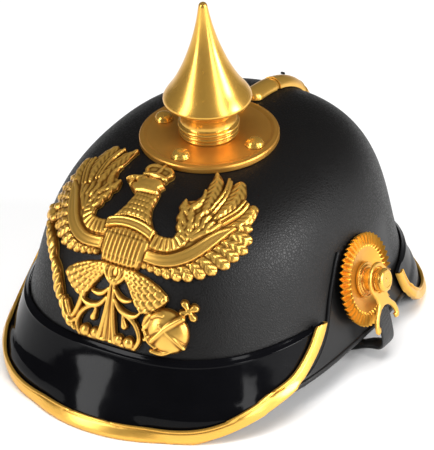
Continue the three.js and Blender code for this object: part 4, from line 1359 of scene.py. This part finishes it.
@dataclass
class SideFittings:
    """One side's fluted disc, its post and the strap hook that hangs on it."""

    side: float
    word: str
    seat_y: float = 10.0
    seat_z: float = 48.1
    lean_back: float = 0.05
    lean_up: float = 0.08
    stand: float = 1.3
    radius: float = 26.7
    pleats: int = 44
    per_pleat: int = 12
    hook_lift: float = 10.6
    hook_sheet: float = 1.6
    disc: Array = field(default_factory=lambda: table("""
        0.1 2.6, 8 2.6, 10 2.6, 12 2.9, 14.5 3.5, 16.6 4.1, 17.6 4.4, 18.3 4.65, 19.0 4.8, 20.2 4.85,
        22.5 4.6, 24.5 4.25, 26.0 3.9, 26.6 3.5, 26.6 3.0, 25.9 2.45, 24 2.2, 20 1.9, 13 1.2, 9 0.1, 0.1 0"""))
    post: Array = field(default_factory=lambda: table("""
        0.1 2.9, 9.8 2.9, 10 3.1, 10 4.2, 9.7 4.6, 9.2 4.7, 8.9 4.4, 8.6 4.3, 8.3 4.5, 8.1 5.0, 7.6 5.2,
        7.0 5.1, 6.6 5.3, 6.5 6.0, 6.5 12.4, 6.3 12.7, 6.3 13.1, 6.7 13.3, 6.75 15.6, 6.6 16.2, 6.1 16.8,
        5.3 17.15, 4.4 17.2, 3.9 17.0, 2.0 16.95, 1.3 17.0, 0.9 17.15, 0.1 17.2"""))
    fork: Array = field(default_factory=lambda: table("""
        9.2 -4, 6 -9.5, 5.6 -12.5, 8 -16, 11.4 -19.6, 13 -23.6, 13.2 -27, 11.6 -28.8, 9.2 -28.2, 8.4 -25.6,
        9.9 -25, 9.2 -22.6, 7 -19.4, 4 -17, 0 -16"""))

    def __post_init__(self) -> None:
        """Works out the disc's own directions from the skull's slope under it."""
        point, out = SKULL.seat(self.seat_y, self.seat_z, self.side)
        out = unit(out + np.array([0, self.lean_back, self.lean_up]))
        forward = unit(np.array([0, self.side, 0]) - out * self.side * out[1])
        self.place = Place(point + out * self.stand, forward, unit(np.cross(out, forward)), out)

    def rosette(self) -> Array:
        """Rings of the disc: past the smooth dish each ring's height swings with the pleats.

        The swing is a zigzag of the angle with softened tips; it grows from the dish to the rim,
        where the rim itself runs in and out with it.
        """
        columns = self.pleats * self.per_pleat
        angle = np.linspace(0, 2 * np.pi, columns, endpoint=False)[None, :]
        outline = subdivide(round_corners(self.disc, 0.4, 3), 1.1)
        radius, height = outline[:, :1], outline[:, 1:]
        turn = angle * self.pleats / (2 * np.pi)
        zigzag = np.arcsin(0.94 * np.sin(2 * np.pi * turn)) / np.arcsin(0.94)
        grows = smooth_step(17.6, 21.5, radius)
        swing = zigzag * grows * 1.5
        away = radius * (1 + 0.022 * (zigzag - 1) * smooth_step(22.0, 26.5, radius))
        local = [away * np.cos(angle), away * np.sin(angle), height + swing - 0.4 * grows]
        return self.place.put(np.stack(np.broadcast_arrays(*local), axis=-1))

    def hook(self) -> bpy.types.Object:
        """The ring and its forked legs, drawn flat with rounded edges."""
        relief = Relief((-16, -31), (16, 12), 0.3, 1.0)
        mirrored = self.fork[:-1][::-1] * np.array([-1, 1])
        legs = np.vstack([self.fork, mirrored])
        relief.patch(legs, self.hook_sheet, 0.7)
        turn = np.linspace(0, 2 * np.pi, 40)
        circle = np.stack([8.65 * np.cos(turn), 8.65 * np.sin(turn)], axis=1)
        relief.stroke(circle, [1.35], self.hook_sheet, bevel=0.6)
        relief.hole((0, 0), 7.3)
        relief.even_out(1)

        def lay(u: Array, v: Array, height: Array) -> Array:
            """Carries the flat drawing to its place off the post."""
            return self.place.put(np.stack([u, v, self.hook_lift + height], axis=1))

        return relief.solid(f"visual_strap_hook_{self.word}", lay, 50)

    def build(self, bench: Bench) -> None:
        """Makes the three pieces."""
        disc = loft(f"visual_rosette_{self.word}", self.rosette(), sharp=75)
        # Painted shade: the rosette wears the darker copy of the gold.
        bench.mount(disc, "rosette_gold_shaded", "gold", f"rosette_{self.word}")
        post = turned(self.place, round_corners(self.post, 0.25, 3), 72)
        piece = loft(f"visual_rosette_post_{self.word}", post, sharp=60)
        bench.mount(piece, "spike_gold", "gold", f"rosette_post_{self.word}")
        bench.mount(self.hook(), "trim_gold", "gold", f"strap_hook_{self.word}")


@dataclass
class ChinStrap:
    """The elastic strap from hook to hook, laid across the floor under the helmet."""

    width: float = 12.0
    thick: float = 1.6
    y: float = 13.0
    half: Array = field(default_factory=lambda: table("""
        0 1.1, 40 1.1, 72 1.1, 82 1.8, 88 4, 94 6.6, 100 7.8, 103.6 8.8, 104.8 11.5, 104.4 17, 103.2 23,
        100.8 31"""))

    def build(self, bench: Bench) -> None:
        """Carries a flat section with rounded edges along the loop, with a UV map along it."""
        middle = np.vstack([self.half[:0:-1] * np.array([-1, 1]), self.half])
        path = Route(middle, soften=1.5)
        share = np.linspace(0, 1, 420)
        spot, heading = path.at(share), path.heading(share)
        turn = np.linspace(0, 2 * np.pi, 28, endpoint=False)
        flat = np.sign(np.cos(turn)) * np.abs(np.cos(turn)) ** 0.55
        proud = np.sign(np.sin(turn)) * np.abs(np.sin(turn)) ** 0.55
        ripple = 1 + 0.05 * np.sin(share * path.length * 2 * np.pi / 1.8)
        lift = proud[None, :] * self.thick / 2 * ripple[:, None]
        rings = np.stack([
            spot[:, :1] - heading[:, 1:] * lift,
            self.y + flat[None, :] * self.width / 2 + 0 * lift,
            np.maximum(spot[:, 1:] + heading[:, :1] * lift, 0.12),
        ], axis=-1)
        piece = loft("visual_chin_strap", rings, sharp=70)
        columns = len(turn)
        along = np.concatenate([np.repeat(share * path.length, columns), [0.0, path.length]])
        side = np.concatenate([np.tile(flat * self.width / 2, len(share)), [0.0, 0.0]])
        sheet = piece.data.uv_layers.new(name="weave")
        corner = np.zeros(len(piece.data.loops), dtype=np.int32)
        piece.data.loops.foreach_get("vertex_index", corner)
        sheet.data.foreach_set("uv", np.stack([along[corner], side[corner]], axis=1).ravel().astype(np.float32))
        bench.mount(piece, "elastic", "elastic", "chin_strap")


# ------------------------------------------------------------------ eagle badge


def barbs(pitch: float, slant: float, depth: float) -> Pattern:
    """A feather's barbs: chevrons of depth * cos(2 pi (s - slant |d|) / pitch), fading at the rim."""

    def pattern(along: Array, across: Array, half: Array, inside: Array) -> Array:
        """Slanting waves on both sides of a shaft."""
        wave = np.cos(2 * np.pi * (along - slant * np.abs(across)) / pitch)
        shaft = 0.45 * bell(np.abs(across) - 0.35, 0.3)
        return depth * wave * smooth_step(0.2, 1.0, inside) + shaft

    return pattern


def pleated(pitch: float, depth: float) -> Pattern:
    """Rounded pleats across a band: depth * |cos(pi s / pitch)|."""

    def pattern(along: Array, across: Array, half: Array, inside: Array) -> Array:
        """Upright ribs along the stroke."""
        return depth * (np.abs(np.cos(np.pi * along / pitch)) - 0.6)

    return pattern


def bordered(inset: float, depth: float) -> Pattern:
    """A fine raised line along both edges of a band."""

    def pattern(along: Array, across: Array, half: Array, inside: Array) -> Array:
        """A fine raised line just inside the edge."""
        return depth * bell(inside - inset, 0.42) - 0.3 * depth * bell(inside - inset - 1.1, 0.45)

    return pattern


def twisted(pitch: float, depth: float) -> Pattern:
    """A rope's turns: depth * cos(2 pi (s + d) / pitch)."""

    def pattern(along: Array, across: Array, half: Array, inside: Array) -> Array:
        """Slanting turns, as on a cord."""
        return depth * np.cos(2 * np.pi * (along + across) / pitch) * smooth_step(0, 0.8, inside)

    return pattern


@dataclass
class EagleBadge:
    """The gold heraldic eagle with sceptre and orb, drawn flat and laid over the skull's front.

    Tables are in the badge's plane: across to the wearer's left, and up from the tail's foot.
    """

    bottom_y: float = -106.8
    bottom_z: float = 46.1
    lean: float = 0.8257
    step: float = 0.36
    rim: float = 1.15
    feathers: Array = field(default_factory=lambda: table("""
        60.0 72.3 50.5 71.0 3.7, 60.2 66.0 49.0 66.0 3.3, 58.0 60.2 47.0 62.0 3.2, 55.6 54.4 44.0 57.5 3.2,
        51.0 48.6 40.5 53.5 3.2, 46.5 44.3 36.5 50.0 3.0, 41.0 40.6 33.0 47.0 3.0, 35.6 38.8 29.5 45.0 3.0,
        30.0 37.9 26.0 44.0 2.9, 24.6 37.9 22.5 43.6 2.8, 19.6 38.3 18.8 43.8 2.7, 15.6 38.8 15.4 43.8 2.4,
        57.6 78.8 49.0 75.5 2.6"""))
    leaves: Array = field(default_factory=lambda: table("""
        21.0 81.5 25.0 75.0 3.0, 22.6 75.0 26.6 69.0 2.8, 24.6 69.6 28.0 64.0 2.4, 27.0 78.5 29.5 71.5 2.7,
        30.0 73.0 31.5 66.0 2.4, 33.0 78.0 33.5 70.5 2.5, 37.0 77.0 36.5 70.0 2.3, 40.2 74.5 39.2 68.0 2.1"""))

    def __post_init__(self) -> None:
        """Lays the drawing's plane and its grid."""
        sine, cosine = math.sin(self.lean), math.cos(self.lean)
        up, out = np.array([0, cosine, sine]), np.array([0, -sine, cosine])
        self.place = Place(np.array([0, self.bottom_y, self.bottom_z]), np.array([1.0, 0, 0]), up, out)
        self.relief = Relief((-64.5, -5), (62.5, 104), self.step, self.rim)

    def on_skull(self, u: Array, v: Array, height: Array) -> Array:
        """Carries the drawing onto the skull: along the plane's normal to it, then out of it.

        The skull is met by halving, again and again, the stretch between two heights of the
        normal. That is done on a coarse grid, which is then read between its places.

        Args:
            u: Places across the drawing.
            v: Places up the drawing.
            height: Heights of the relief above the skull.

        Returns:
            Points of shape (places, 3).
        """
        pitch, halvings = 1.5, 20
        across, upward = np.arange(-67.5, 66.1, pitch), np.arange(-7.5, 106.6, pitch)
        grid_u, grid_v = np.meshgrid(across, upward)
        low, high = np.full(grid_u.shape, -75.0), np.full(grid_u.shape, 45.0)
        for _ in range(halvings):
            middle = (low + high) / 2
            out = SKULL.standoff(self.place.put(np.stack([grid_u, grid_v, middle], axis=-1)), GAP) > 0
            low, high = np.where(out, low, middle), np.where(out, middle, high)
        level = (low + high) / 2
        slope_v, slope_u = np.gradient(level, pitch)
        bend_u, bend_v = np.gradient(slope_u, pitch)[1], np.gradient(slope_v, pitch)[0]

        def ease(values: Array) -> Array:
            """Values between the grid's places, by the four that surround each."""
            x, y = (u - across[0]) / pitch, (v - upward[0]) / pitch
            i, j = np.floor(x).astype(int), np.floor(y).astype(int)
            p, q = x - i, y - j
            return (
                values[j, i] * (1 - p) * (1 - q) + values[j, i + 1] * p * (1 - q)
                + values[j + 1, i] * (1 - p) * q + values[j + 1, i + 1] * p * q
            )

        p = u - across[0] - pitch * np.floor((u - across[0]) / pitch)
        q = v - upward[0] - pitch * np.floor((v - upward[0]) / pitch)
        sag = ease(bend_u) * p * (pitch - p) / 2 + ease(bend_v) * q * (pitch - q) / 2
        base = ease(level) - sag
        du, dv = ease(slope_u), ease(slope_v)
        normal = unit(np.stack([-du, -dv, np.ones_like(du)], axis=-1))
        local = np.stack([u, v, base], axis=-1) + normal * height[:, None]
        return self.place.put(local)

    def _wings(self) -> None:
        """Both wings: outer feathers, primaries, leaves, inner feathers, pleats and banners."""
        relief = self.relief
        web = table("""
            13 58, 20 57.5, 25 58.5, 27 61, 26 66, 23.4 71, 22.4 77, 21.4 81.5, 25.5 83.5, 27.5 89, 30 90,
            33 92, 38 96, 44 93, 49 88, 53 84, 54.5 78, 57 73, 56 66, 54 58, 51 52, 46 46.5, 40 42.4,
            32 40, 14 40, 13 48""")
        primaries = (
            ("25.8 101.6, 29.0 97, 31.0 91, 32.6 85, 33.6 78.5", (1.0, 3.6, 4.1, 3.3, 1.8)),
            ("40.5 99, 42.6 93, 42.6 86, 40.6 78", (3.2, 4.5, 4.2, 3.0, 1.6)),
            ("53.0 88.6, 53.2 82.5, 50.4 76, 46 70.5", (2.9, 3.4, 2.9, 1.8)),
        )
        quills = (
            ("33.6 100.6, 35.6 95, 36.2 88, 35.6 80.5", 3.5), ("35.4 99.6, 37.5 94, 38.2 87, 37.6 80", 3.2),
            ("47.6 91.5, 47.2 86, 45.0 80.5, 42.6 76", 3.6), ("49.6 90.6, 49.2 85, 47.0 79.5, 44.6 75", 3.3),
        )
        inner = (
            "29.0 61.5, 30.6 66, 32.2 70.5", "31.6 60.6, 34.4 65.6, 36.6 71.0", "34.4 62.0, 38.0 67.0, 40.4 72.6",
            "37.0 65.4, 41.0 70.0, 43.4 74.6", "26.8 60.2, 28.0 65.0, 28.6 68.4",
        )
        for sign in (1, -1):
            flip = np.array([sign, 1])
            relief.patch(web * flip, 1.75, 0.8)
            for tip_u, tip_v, root_u, root_v, half in self.feathers:
                path = np.array([[root_u, root_v], [(root_u + tip_u) / 2, (root_v + tip_v) / 2 + 0.4], [tip_u, tip_v]])
                path[-1] += (path[0] - path[-1]) / np.linalg.norm(path[0] - path[-1]) * half * 0.9
                relief.stroke(path * flip, (half * 0.7, half, half), 2.75, pattern=barbs(3.0, 0.9, 0.2), foot=1.3)
            for points, widths in primaries:
                relief.stroke(table(points) * flip, widths, 2.9, pattern=barbs(3.4, 1.1, 0.26), foot=1.3)
            for points, top in quills:
                relief.stroke(table(points) * flip, (0.85, 0.85, 0.6), top, foot=1.6)
            for points in inner:
                relief.stroke(table(points) * flip, (1.5, 1.7, 1.0), 3.0, foot=1.4)
            for tip_u, tip_v, root_u, root_v, half in self.leaves:
                bow = np.array([(root_v - tip_v) * 0.12, (tip_u - root_u) * 0.12])
                path = np.array([[root_u, root_v], [(root_u + tip_u) / 2, (root_v + tip_v) / 2] + bow, [tip_u, tip_v]])
                relief.stroke(path * flip, (half * 0.9, half, 0.6), 3.1, pattern=barbs(2.6, 1.0, 0.07), foot=1.3)
            hook = table("24.2 76.5, 28.0 81.5, 28.6 86, 26.8 90.2") * flip
            relief.stroke(hook, (2.0, 2.2, 1.8, 0.6), 3.0, pattern=barbs(2.8, 1.0, 0.15), foot=1.3)
            pleats = table("13.5 54.6, 20 54.0, 25.4 55.2, 29.4 58.6, 31.4 63.0") * flip
            relief.stroke(pleats, (4.4, 4.4, 4.3, 3.6, 2.2), 2.9, bevel=0.9, pattern=pleated(2.9, 0.75))
            banner = table("""
                13.6 45.7, 20 45.4, 26.5 46.4, 32 49.3, 37 53.9, 41 59.7, 44.6 66.2, 47.8 71.4, 50.4 74.8""") * flip
            relief.stroke(banner, (3.6, 3.6, 3.7, 3.9, 3.9, 3.8, 3.6, 3.0, 1.6), 3.5, bevel=1.0,
                          pattern=bordered(1.25, 0.35), over=True)

    def _body(self) -> None:
        """Neck, head, crown, chest with its ribs, and the banner that arches over it."""
        relief = self.relief
        neck = table("""
            -14.6 60, -11.4 64.6, -9.2 69.6, -8.0 76.4, -7.6 80, 5.6 80, 6.2 76.6, 6.6 71, 8.8 66, 11.6 62.4,
            14.4 60, 0 57""")

        def scales(u: Array, v: Array, inside: Array) -> Array:
            """Rows of small scales whose lower edges hang as arcs, on a rounded neck."""
            middle = -1.2 + 0.02 * (v - 60)
            row = (v - 56 + 0.012 * (u - middle) ** 2) / 2.9
            shift = (np.floor(row) % 2) * 0.5
            spread = (u - middle) / (2.7 * (1 + 0.025 * (66 - v)))
            cell = np.abs((spread + shift) % 1 - 0.5)
            hang = (row % 1) + 0.6 * cell**2
            lobe = 0.5 * smooth_step(1.15, 0.25, hang) * (1 - smooth_step(0.3, 0.5, cell))
            return lobe + 0.9 * smooth_step(0, 6, inside)

        relief.patch(neck, 2.5, 1.2, scales)
        head = table("""
            -8.8 76.8, -12.2 78.8, -13.8 81.2, -12.6 83.2, -16.0 82.4, -18.2 82.9, -16.4 85, -13 86.8,
            -9.0 88.4, 2.6 88.6, 5.8 84.8, 4.4 82.6, 5.6 80.6, 4.8 78""")
        relief.patch(head, 3.6, 1.6, lambda u, v, inside: (
            0.8 * smooth_step(0, 4.5, inside) + 0.5 * smooth_step(-9, -4, u) * scales(u, v, inside)))
        relief.stroke(table("-13.2 80.2, -13.4 84.2, -9.6 86.6"), (0.6, 0.9, 0.8), 4.6, foot=3.4)
        relief.stroke(table("-17.4 83.2, -14.2 85.2, -10.6 85.8"), (0.5, 1.1, 1.0), 4.7, foot=2.4)
        relief.groove(table("-16.4 82.9, -13.0 83.4, -10.6 82.6"), 0.4, 0.9)
        relief.dome((-7.6, 85.6), 1.5, 4.9, foot=3.8)
        relief.groove(table("-9.4 86.6, -7.4 87.4, -5.4 86.4"), 0.35, 0.6)
        relief.stroke(table("-9.6 88.4, -4 89.6, 3.4 88.6"), (1.2, 1.4, 1.2), 4.6, foot=2.6)
        relief.stroke(table("-9.4 90.2, -10.8 92.6, -8 95.2, -4.2 95"), (1.2, 1.5, 1.5, 1.0), 4.0, foot=1.8)
        relief.stroke(table("3.4 90.2, 4.4 92.6, 2 94.8, -1.4 95"), (1.2, 1.4, 1.5, 1.0), 4.0, foot=1.8)
        relief.patch(table("-10 89.4, -10.4 93, -7 95.4, 1.6 95.2, 4.4 92.4, 3.8 89.4"), 3.2, 1.0)
        relief.stroke(table("-3.2 89.6, -2.8 93, -2.8 95.4"), (1.1, 1.4, 1.0), 4.3, foot=2.2)
        relief.stroke(table("-2.8 95, -2.8 97.4"), (0.75, 0.75), 3.6)
        relief.stroke(table("-4.3 96.5, -1.3 96.5"), (0.65, 0.65), 3.4)

        def ribs(u: Array, v: Array, inside: Array) -> Array:
            """Upright ribs 2.6 mm apart; near the top and the foot they part into short pleats."""
            upright = np.abs(np.cos(np.pi * (u - 1.0) / 2.6))
            edge = smooth_step(39.6, 40.4, v) * (1 - smooth_step(52.4, 53.2, v))
            line = 0.5 * bell(v - 40.6, 0.4) + 0.5 * bell(v - 52.6, 0.4)
            return 0.75 * (upright - 0.6) + 0.35 * edge - line

        chest = table("""
            -11.0 37.2, -12.6 42, -13.2 53.8, -8 57, 0 58, 9 57, 15.0 53.8, 14.4 42, 12.6 37.2, 7 36.2,
            -5 36.2""")
        relief.patch(chest, 3.1, 2.0, ribs, over=True)
        arch = table("""
            -15.6 59.6, -12.6 61.3, -9 62.4, -4.5 63.1, 0 63.3, 4.5 63, 9 62.2, 12.4 61.1, 15.4 59.8,
            15.0 53.0, 11.6 54.5, 8 55.6, 4 56.4, 0 56.7, -4 56.6, -8 55.9, -11.4 54.9, -14.4 53.4""")
        line = bordered(1.1, 0.35)
        relief.patch(arch, 3.7, 0.9, lambda u, v, inside: line(u, v, u, inside), over=True)

    def _thighs(self) -> None:
        """Two fans of brick-shaped scales, each round a centre above the knot."""
        relief = self.relief
        right = table("""
            6.4 37, 12 36.6, 19 35.2, 26 32.6, 31.4 29.4, 32.8 26.8, 30.8 23.4, 27 19.8, 21.6 16.4, 18.4 16,
            14.2 19.4, 11.6 23.4, 8.6 27.4, 5.6 31.4, 3.6 34.6""")
        for sign in (1, -1):

            def bricks(u: Array, v: Array, inside: Array, sign: int = sign) -> Array:
                """Rays round (2, 40) cut by arcs, each ray's joints half a brick from the next's."""
                angle = np.arctan2(40 - v, sign * u - 1.5)
                far = np.hypot(sign * u - 1.5, 40 - v)
                ray = angle / 0.125
                joint = far / 4.7 + 0.5 * (np.floor(ray) % 2)
                bulge = np.sqrt(np.clip(1 - (2 * (ray % 1) - 1) ** 2, 0, 1))
                notch = smooth_step(0.0, 0.16, joint % 1) * (1 - smooth_step(0.86, 1.0, joint % 1))
                return 0.8 * (bulge - 0.6) * (0.3 + 0.7 * notch) - 0.4 * (1 - notch) + 0.5 * smooth_step(0, 5, inside)

            relief.patch(right * np.array([sign, 1]), 2.9, 0.9, bricks)

    def _tail(self) -> None:
        """Knot, the tail's ribs, its scrolls, leaves and balls."""
        relief = self.relief
        for sign in (1, -1):
            flip = np.array([sign, 1])
            relief.stroke(table("1.8 37, 3.2 33.4, 2.0 29.6, 0.9 27.4") * flip, (1.8, 1.7, 1.4, 1.2), 3.6)
            relief.stroke(table("5.6 36.4, 6.2 33, 4.2 29.4, 1.8 27.2") * flip, (1.3, 1.4, 1.2, 1.0), 3.2)
            relief.stroke(table("0.9 27, 1.8 18, 3.2 8, 5.2 -1.4") * flip, (1.0, 1.2, 1.4, 1.7), 3.4)
            relief.stroke(table("0.8 23, 1.0 12, 1.7 4, 2.0 -2.2") * flip, (0.7, 0.9, 1.0, 1.0), 2.6)
            relief.stroke(table("2.2 24.2, 5 21.4, 8.6 20.2, 12.0 20.9") * flip, (1.0, 1.6, 1.7, 0.9), 3.5)
            upper = table("2.8 19.4, 6.4 15.4, 11.6 13.6, 16.4 14.5, 18.6 16.6") * flip
            relief.stroke(upper, (1.0, 1.6, 1.9, 1.6, 0.7), 3.5)
            lower = table("11 13.2, 15 11.2, 18.4 7.6, 19.8 3.0, 18.4 -0.8") * flip
            relief.stroke(lower, (1.4, 1.5, 1.6, 1.5, 1.4), 3.3)
            relief.stroke(table("8.4 15, 8.8 11.6, 10.0 7.6") * flip, (0.9, 1.3, 2.2), 2.9, bevel=1.0)
            relief.stroke(table("2 -1.9, 8 -2.1, 17.6 -2.0") * flip, (1.3, 1.4, 1.4), 2.7)
            relief.dome((sign * 14.0, 0.1), 3.4, 4.6)
            relief.dome((sign * 7.7, 0.3), 2.8, 4.0)
        relief.patch(table("-5 37.6, 5.6 37.6, 4 31, 1.6 26.6, -1.0 26.6, -3.4 31"), 2.3, 0.8)
        relief.patch(table("-1.7 26, -4.4 0, -3.6 -3, 3.6 -3, 4.4 0, 1.7 26"), 1.7, 0.6)
        relief.dome((0.3, 28.6), 2.6, 4.2)

    def _regalia(self) -> None:
        """The leg and sceptre on the right wing's side, and the orb with its cross on the other."""
        relief = self.relief
        relief.stroke(table("-18.2 17.6, -20.4 11, -24.2 3.6"), (2.1, 1.7, 1.6), 3.2)
        rod = table("""
            -56.6 50.2, -51.4 42.4, -47.6 37.6, -44.4 32.2, -42 29.2, -39.6 25.2, -37.4 20.4, -35.0 15.4,
            -32.6 12, -29 6.8, -25 2.2, -20.4 -0.3""")
        widths = (2.0, 2.4, 3.5, 3.3, 2.0, 3.1, 3.3, 3.4, 2.0, 2.4, 2.6, 1.4)
        relief.stroke(rod, widths, 4.0, pattern=twisted(5.2, 0.4), over=True)
        for points in (
            "-28.2 12.4, -26.4 8.8, -24.2 5.4",
            "-30.6 13.6, -29.6 9.4, -26.6 5.0",
            "-26.0 3.2, -22.8 3.0, -20.2 4.6",
        ):
            relief.stroke(table(points), (1.2, 1.5, 0.9), 4.2)
        for centre, radius, top in (
            ((-57.8, 55.4), 4.6, 4.6), ((-60.2, 59), 2.6, 4.2), ((-55.0, 59.6), 2.6, 4.2),
            ((-54.6, 53), 2.6, 4.2),
        ):
            relief.dome(centre, radius, top)
        for points in (
            "29.6 2.4, 25.6 4.4, 22.8 8.4", "27.6 -0.0, 33 0.2, 38.6 3.4", "21.8 9.4, 24.4 13.4, 25.6 16.6",
            "23.2 4.6, 27.0 7.6, 30.0 9.0", "24.6 17.8, 22.4 14.6, 21.6 11.4",
        ):
            relief.stroke(table(points), (1.3, 1.7, 1.1), 4.2)
        relief.dome((34.6, 12), 11.3, 6.3)
        relief.stroke(table("41.2 21.4, 35.4 15.6, 27.6 5.6"), (1.5, 1.7, 1.4), 6.9, foot=4.4)
        relief.stroke(table("30.8 14.6, 36.6 11.2, 43.8 7.2"), (1.3, 1.5, 1.3), 6.6, foot=4.0)
        relief.stroke(table("26.0 17.2, 28.8 19.2, 31.6 19.6"), (1.0, 1.2, 1.0), 5.6, foot=3.6)
        for angle in (0.75, 0.75 + math.pi / 2):
            way = np.array([math.cos(angle), math.sin(angle)])
            centre = np.array([43.4, 25.6])
            arm = np.stack([centre - way * 3.6, centre, centre + way * 3.6])
            relief.stroke(arm, (2.3, 1.2, 2.3), 3.8, bevel=0.9)

    def build(self, bench: Bench) -> None:
        """Draws the eagle, softens it a little and lays it on the skull."""
        self._wings()
        self._thighs()
        self._tail()
        self._body()
        self._regalia()
        self.relief.even_out(1)
        badge = self.relief.solid("visual_eagle_plate", self.on_skull, 75)
        bench.mount(badge, "badge_gold", "badge_gold", "eagle_plate")


# ------------------------------------------------------------------ studio


@dataclass(frozen=True)
class Lamp:
    """A square soft light that looks at the helmet from a direction round it."""

    name: str
    azimuth: float
    height: float
    away: float
    width: float
    tall: float
    watts: float
    mirrored: bool = True


@dataclass
class Studio:
    """The camera, the soft lights and the pale floor."""

    azimuth: float = 32.678
    elevation: float = 30.493
    roll: float = -1.611
    distance: float = 2574.65
    lens: float = 367.04
    target: tuple[float, float, float] = (0.0, 3.2, 73.5)
    aside: float = 0.157
    below: float = -10.81
    lamps: tuple[Lamp, ...] = (
        Lamp("window_left", -30.0, 24.0, 1500.0, 380.0, 1250.0, 13.0),
        Lamp("window_right", 74.0, 24.0, 1500.0, 300.0, 1250.0, 9.0),
        Lamp("side", 106.0, 16.0, 1500.0, 420.0, 700.0, 18.0),
        Lamp("overhead", 30.0, 80.0, 2000.0, 1500.0, 1500.0, 42.0, mirrored=False),
    )

    def _directions(self) -> tuple[Vector, Vector, Vector]:
        """Away from the helmet, and the picture's right and up, turned by the roll."""
        a, e, r = (math.radians(v) for v in (self.azimuth, self.elevation, self.roll))
        back = Vector((math.sin(a) * math.cos(e), -math.cos(a) * math.cos(e), math.sin(e)))
        right = Vector((math.cos(a), math.sin(a), 0.0))
        up = back.cross(right)
        return back, right * math.cos(r) + up * math.sin(r), up * math.cos(r) - right * math.sin(r)

    def camera(self) -> None:
        """Sets the camera at its distance, looking a little below the target."""
        back, right, up = self._directions()
        data = bpy.data.cameras.new("camera")
        data.lens = self.lens
        data.clip_start, data.clip_end = 0.05, 30.0
        camera = bpy.data.objects.new("camera", data)
        bpy.context.collection.objects.link(camera)
        aim = Vector(self.target) + right * self.aside + up * self.below
        turn = Matrix((right, up, back)).transposed().to_4x4()
        camera.matrix_world = Matrix.Translation((aim + back * self.distance) * MM) @ turn
        bpy.context.scene.camera = camera

    def lights(self) -> None:
        """Hangs the soft lights round the helmet and sets a dim even sky."""
        centre = Vector((0.0, 0.0, 0.08))
        for lamp in self.lamps:
            a, e = math.radians(lamp.azimuth), math.radians(lamp.height)
            way = Vector((math.sin(a) * math.cos(e), -math.cos(a) * math.cos(e), math.sin(e)))
            data = bpy.data.lights.new(lamp.name, "AREA")
            data.shape = "RECTANGLE"
            data.size, data.size_y = lamp.width * MM, lamp.tall * MM
            data.energy = lamp.watts
            light = bpy.data.objects.new(lamp.name, data)
            bpy.context.collection.objects.link(light)
            light.location = centre + way * lamp.away * MM
            light.rotation_mode = "QUATERNION"
            light.rotation_quaternion = way.to_track_quat("Z", "Y")
            light.visible_glossy = lamp.mirrored
        world = bpy.data.worlds.new("sky")
        world.use_nodes = True
        sky = world.node_tree.nodes["Background"]
        sky.inputs["Color"].default_value = (1.0, 1.0, 1.0, 1.0)
        sky.inputs["Strength"].default_value = 0.07
        bpy.context.scene.world = world
        bpy.context.scene.view_settings.view_transform = "Standard"

    def floor(self, paper: bpy.types.Material) -> None:
        """A wide round floor just under the helmet's feet."""
        angle = np.linspace(0, 2 * np.pi, 96, endpoint=False)
        rings = [np.stack([r * np.cos(angle), r * np.sin(angle), np.full(96, h)], axis=1)
                 for r, h in ((6000.0, -0.15), (6000.0, -4.0))]
        piece = loft("floor", np.array(rings))
        piece.data.materials.append(paper)
        piece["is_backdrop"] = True


def corners() -> list[list[float]]:
    """The shown object's lowest and highest corner as plain numbers."""
    return [[float(value) for value in corner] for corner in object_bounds()]


def main() -> None:
    """Loads the frame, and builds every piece."""
    logging.basicConfig(level=logging.INFO, format="%(name)s: %(message)s")
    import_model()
    effects = Effects()
    # Painted shade: the third colour darkens the badge relief's hollows.
    gold = {"light": (0.86, 0.50, 0.10), "deep": (0.74, 0.39, 0.06), "hollow_shade": (0.24, 0.1, 0.015)}
    finishes = {
        "trim_gold": GoldPaint("trim_gold_paint", **gold).build(effects),
        "spike_gold": GoldPaint("spike_gold_paint", **gold, roughness=0.25).build(effects),
        # Painted shade: a darker copy of the gold for the plate.
        "plate_gold_shaded": GoldPaint("plate_gold_paint_shaded", (0.74, 0.37, 0.07), (0.62, 0.29, 0.045), (0.3, 0.12, 0.02), 0.36)
        .build(effects),
        # Painted shade: a darker copy of the gold for the rosettes.
        "rosette_gold_shaded": GoldPaint(
            "rosette_gold_paint_shaded", (0.80, 0.42, 0.06), (0.68, 0.32, 0.035), (0.24, 0.1, 0.015), 0.34
        ).build(effects),
        "badge_gold": GoldPaint("badge_gold_paint", (0.92, 0.55, 0.12), (0.82, 0.45, 0.08), (0.24, 0.095, 0.012),
                                relief=True).build(effects),
        "grained": GrainedShell().build(effects),
        "glossy": GlossyBlack("glossy_black_plastic").build(effects),
        "satin": GlossyBlack("satin_black_plastic", 0.3, 0.05, (0.004, 0.004, 0.0043)).build(effects),
        "elastic": ElasticWeb().build(effects),
    }
    bench = Bench(finishes)
    Shell().build(bench)
    Guard("front", FRONT_EDGE, -153, -27, 44.9, 1.6, 5, 7.0, "glossy", "glossy_black").build(bench)
    Guard("rear", REAR_EDGE, 33, 147, 36.4, 2.4, 6, 5.6, "satin", "satin_black", end_width=0.5).build(bench)
    Welt(1.0, "side_strip_left").build(bench)
    Welt(-1.0, "side_strip_right").build(bench)
    Crown().build(bench)
    BackSpine().build(bench)
    EagleBadge().build(bench)
    SideFittings(1.0, "left").build(bench)
    SideFittings(-1.0, "right").build(bench)
    ChinStrap().build(bench)
    studio = Studio()
    studio.camera()
    studio.lights()
    studio.floor(Paper().build(effects))


if __name__ == "__main__":
    main()
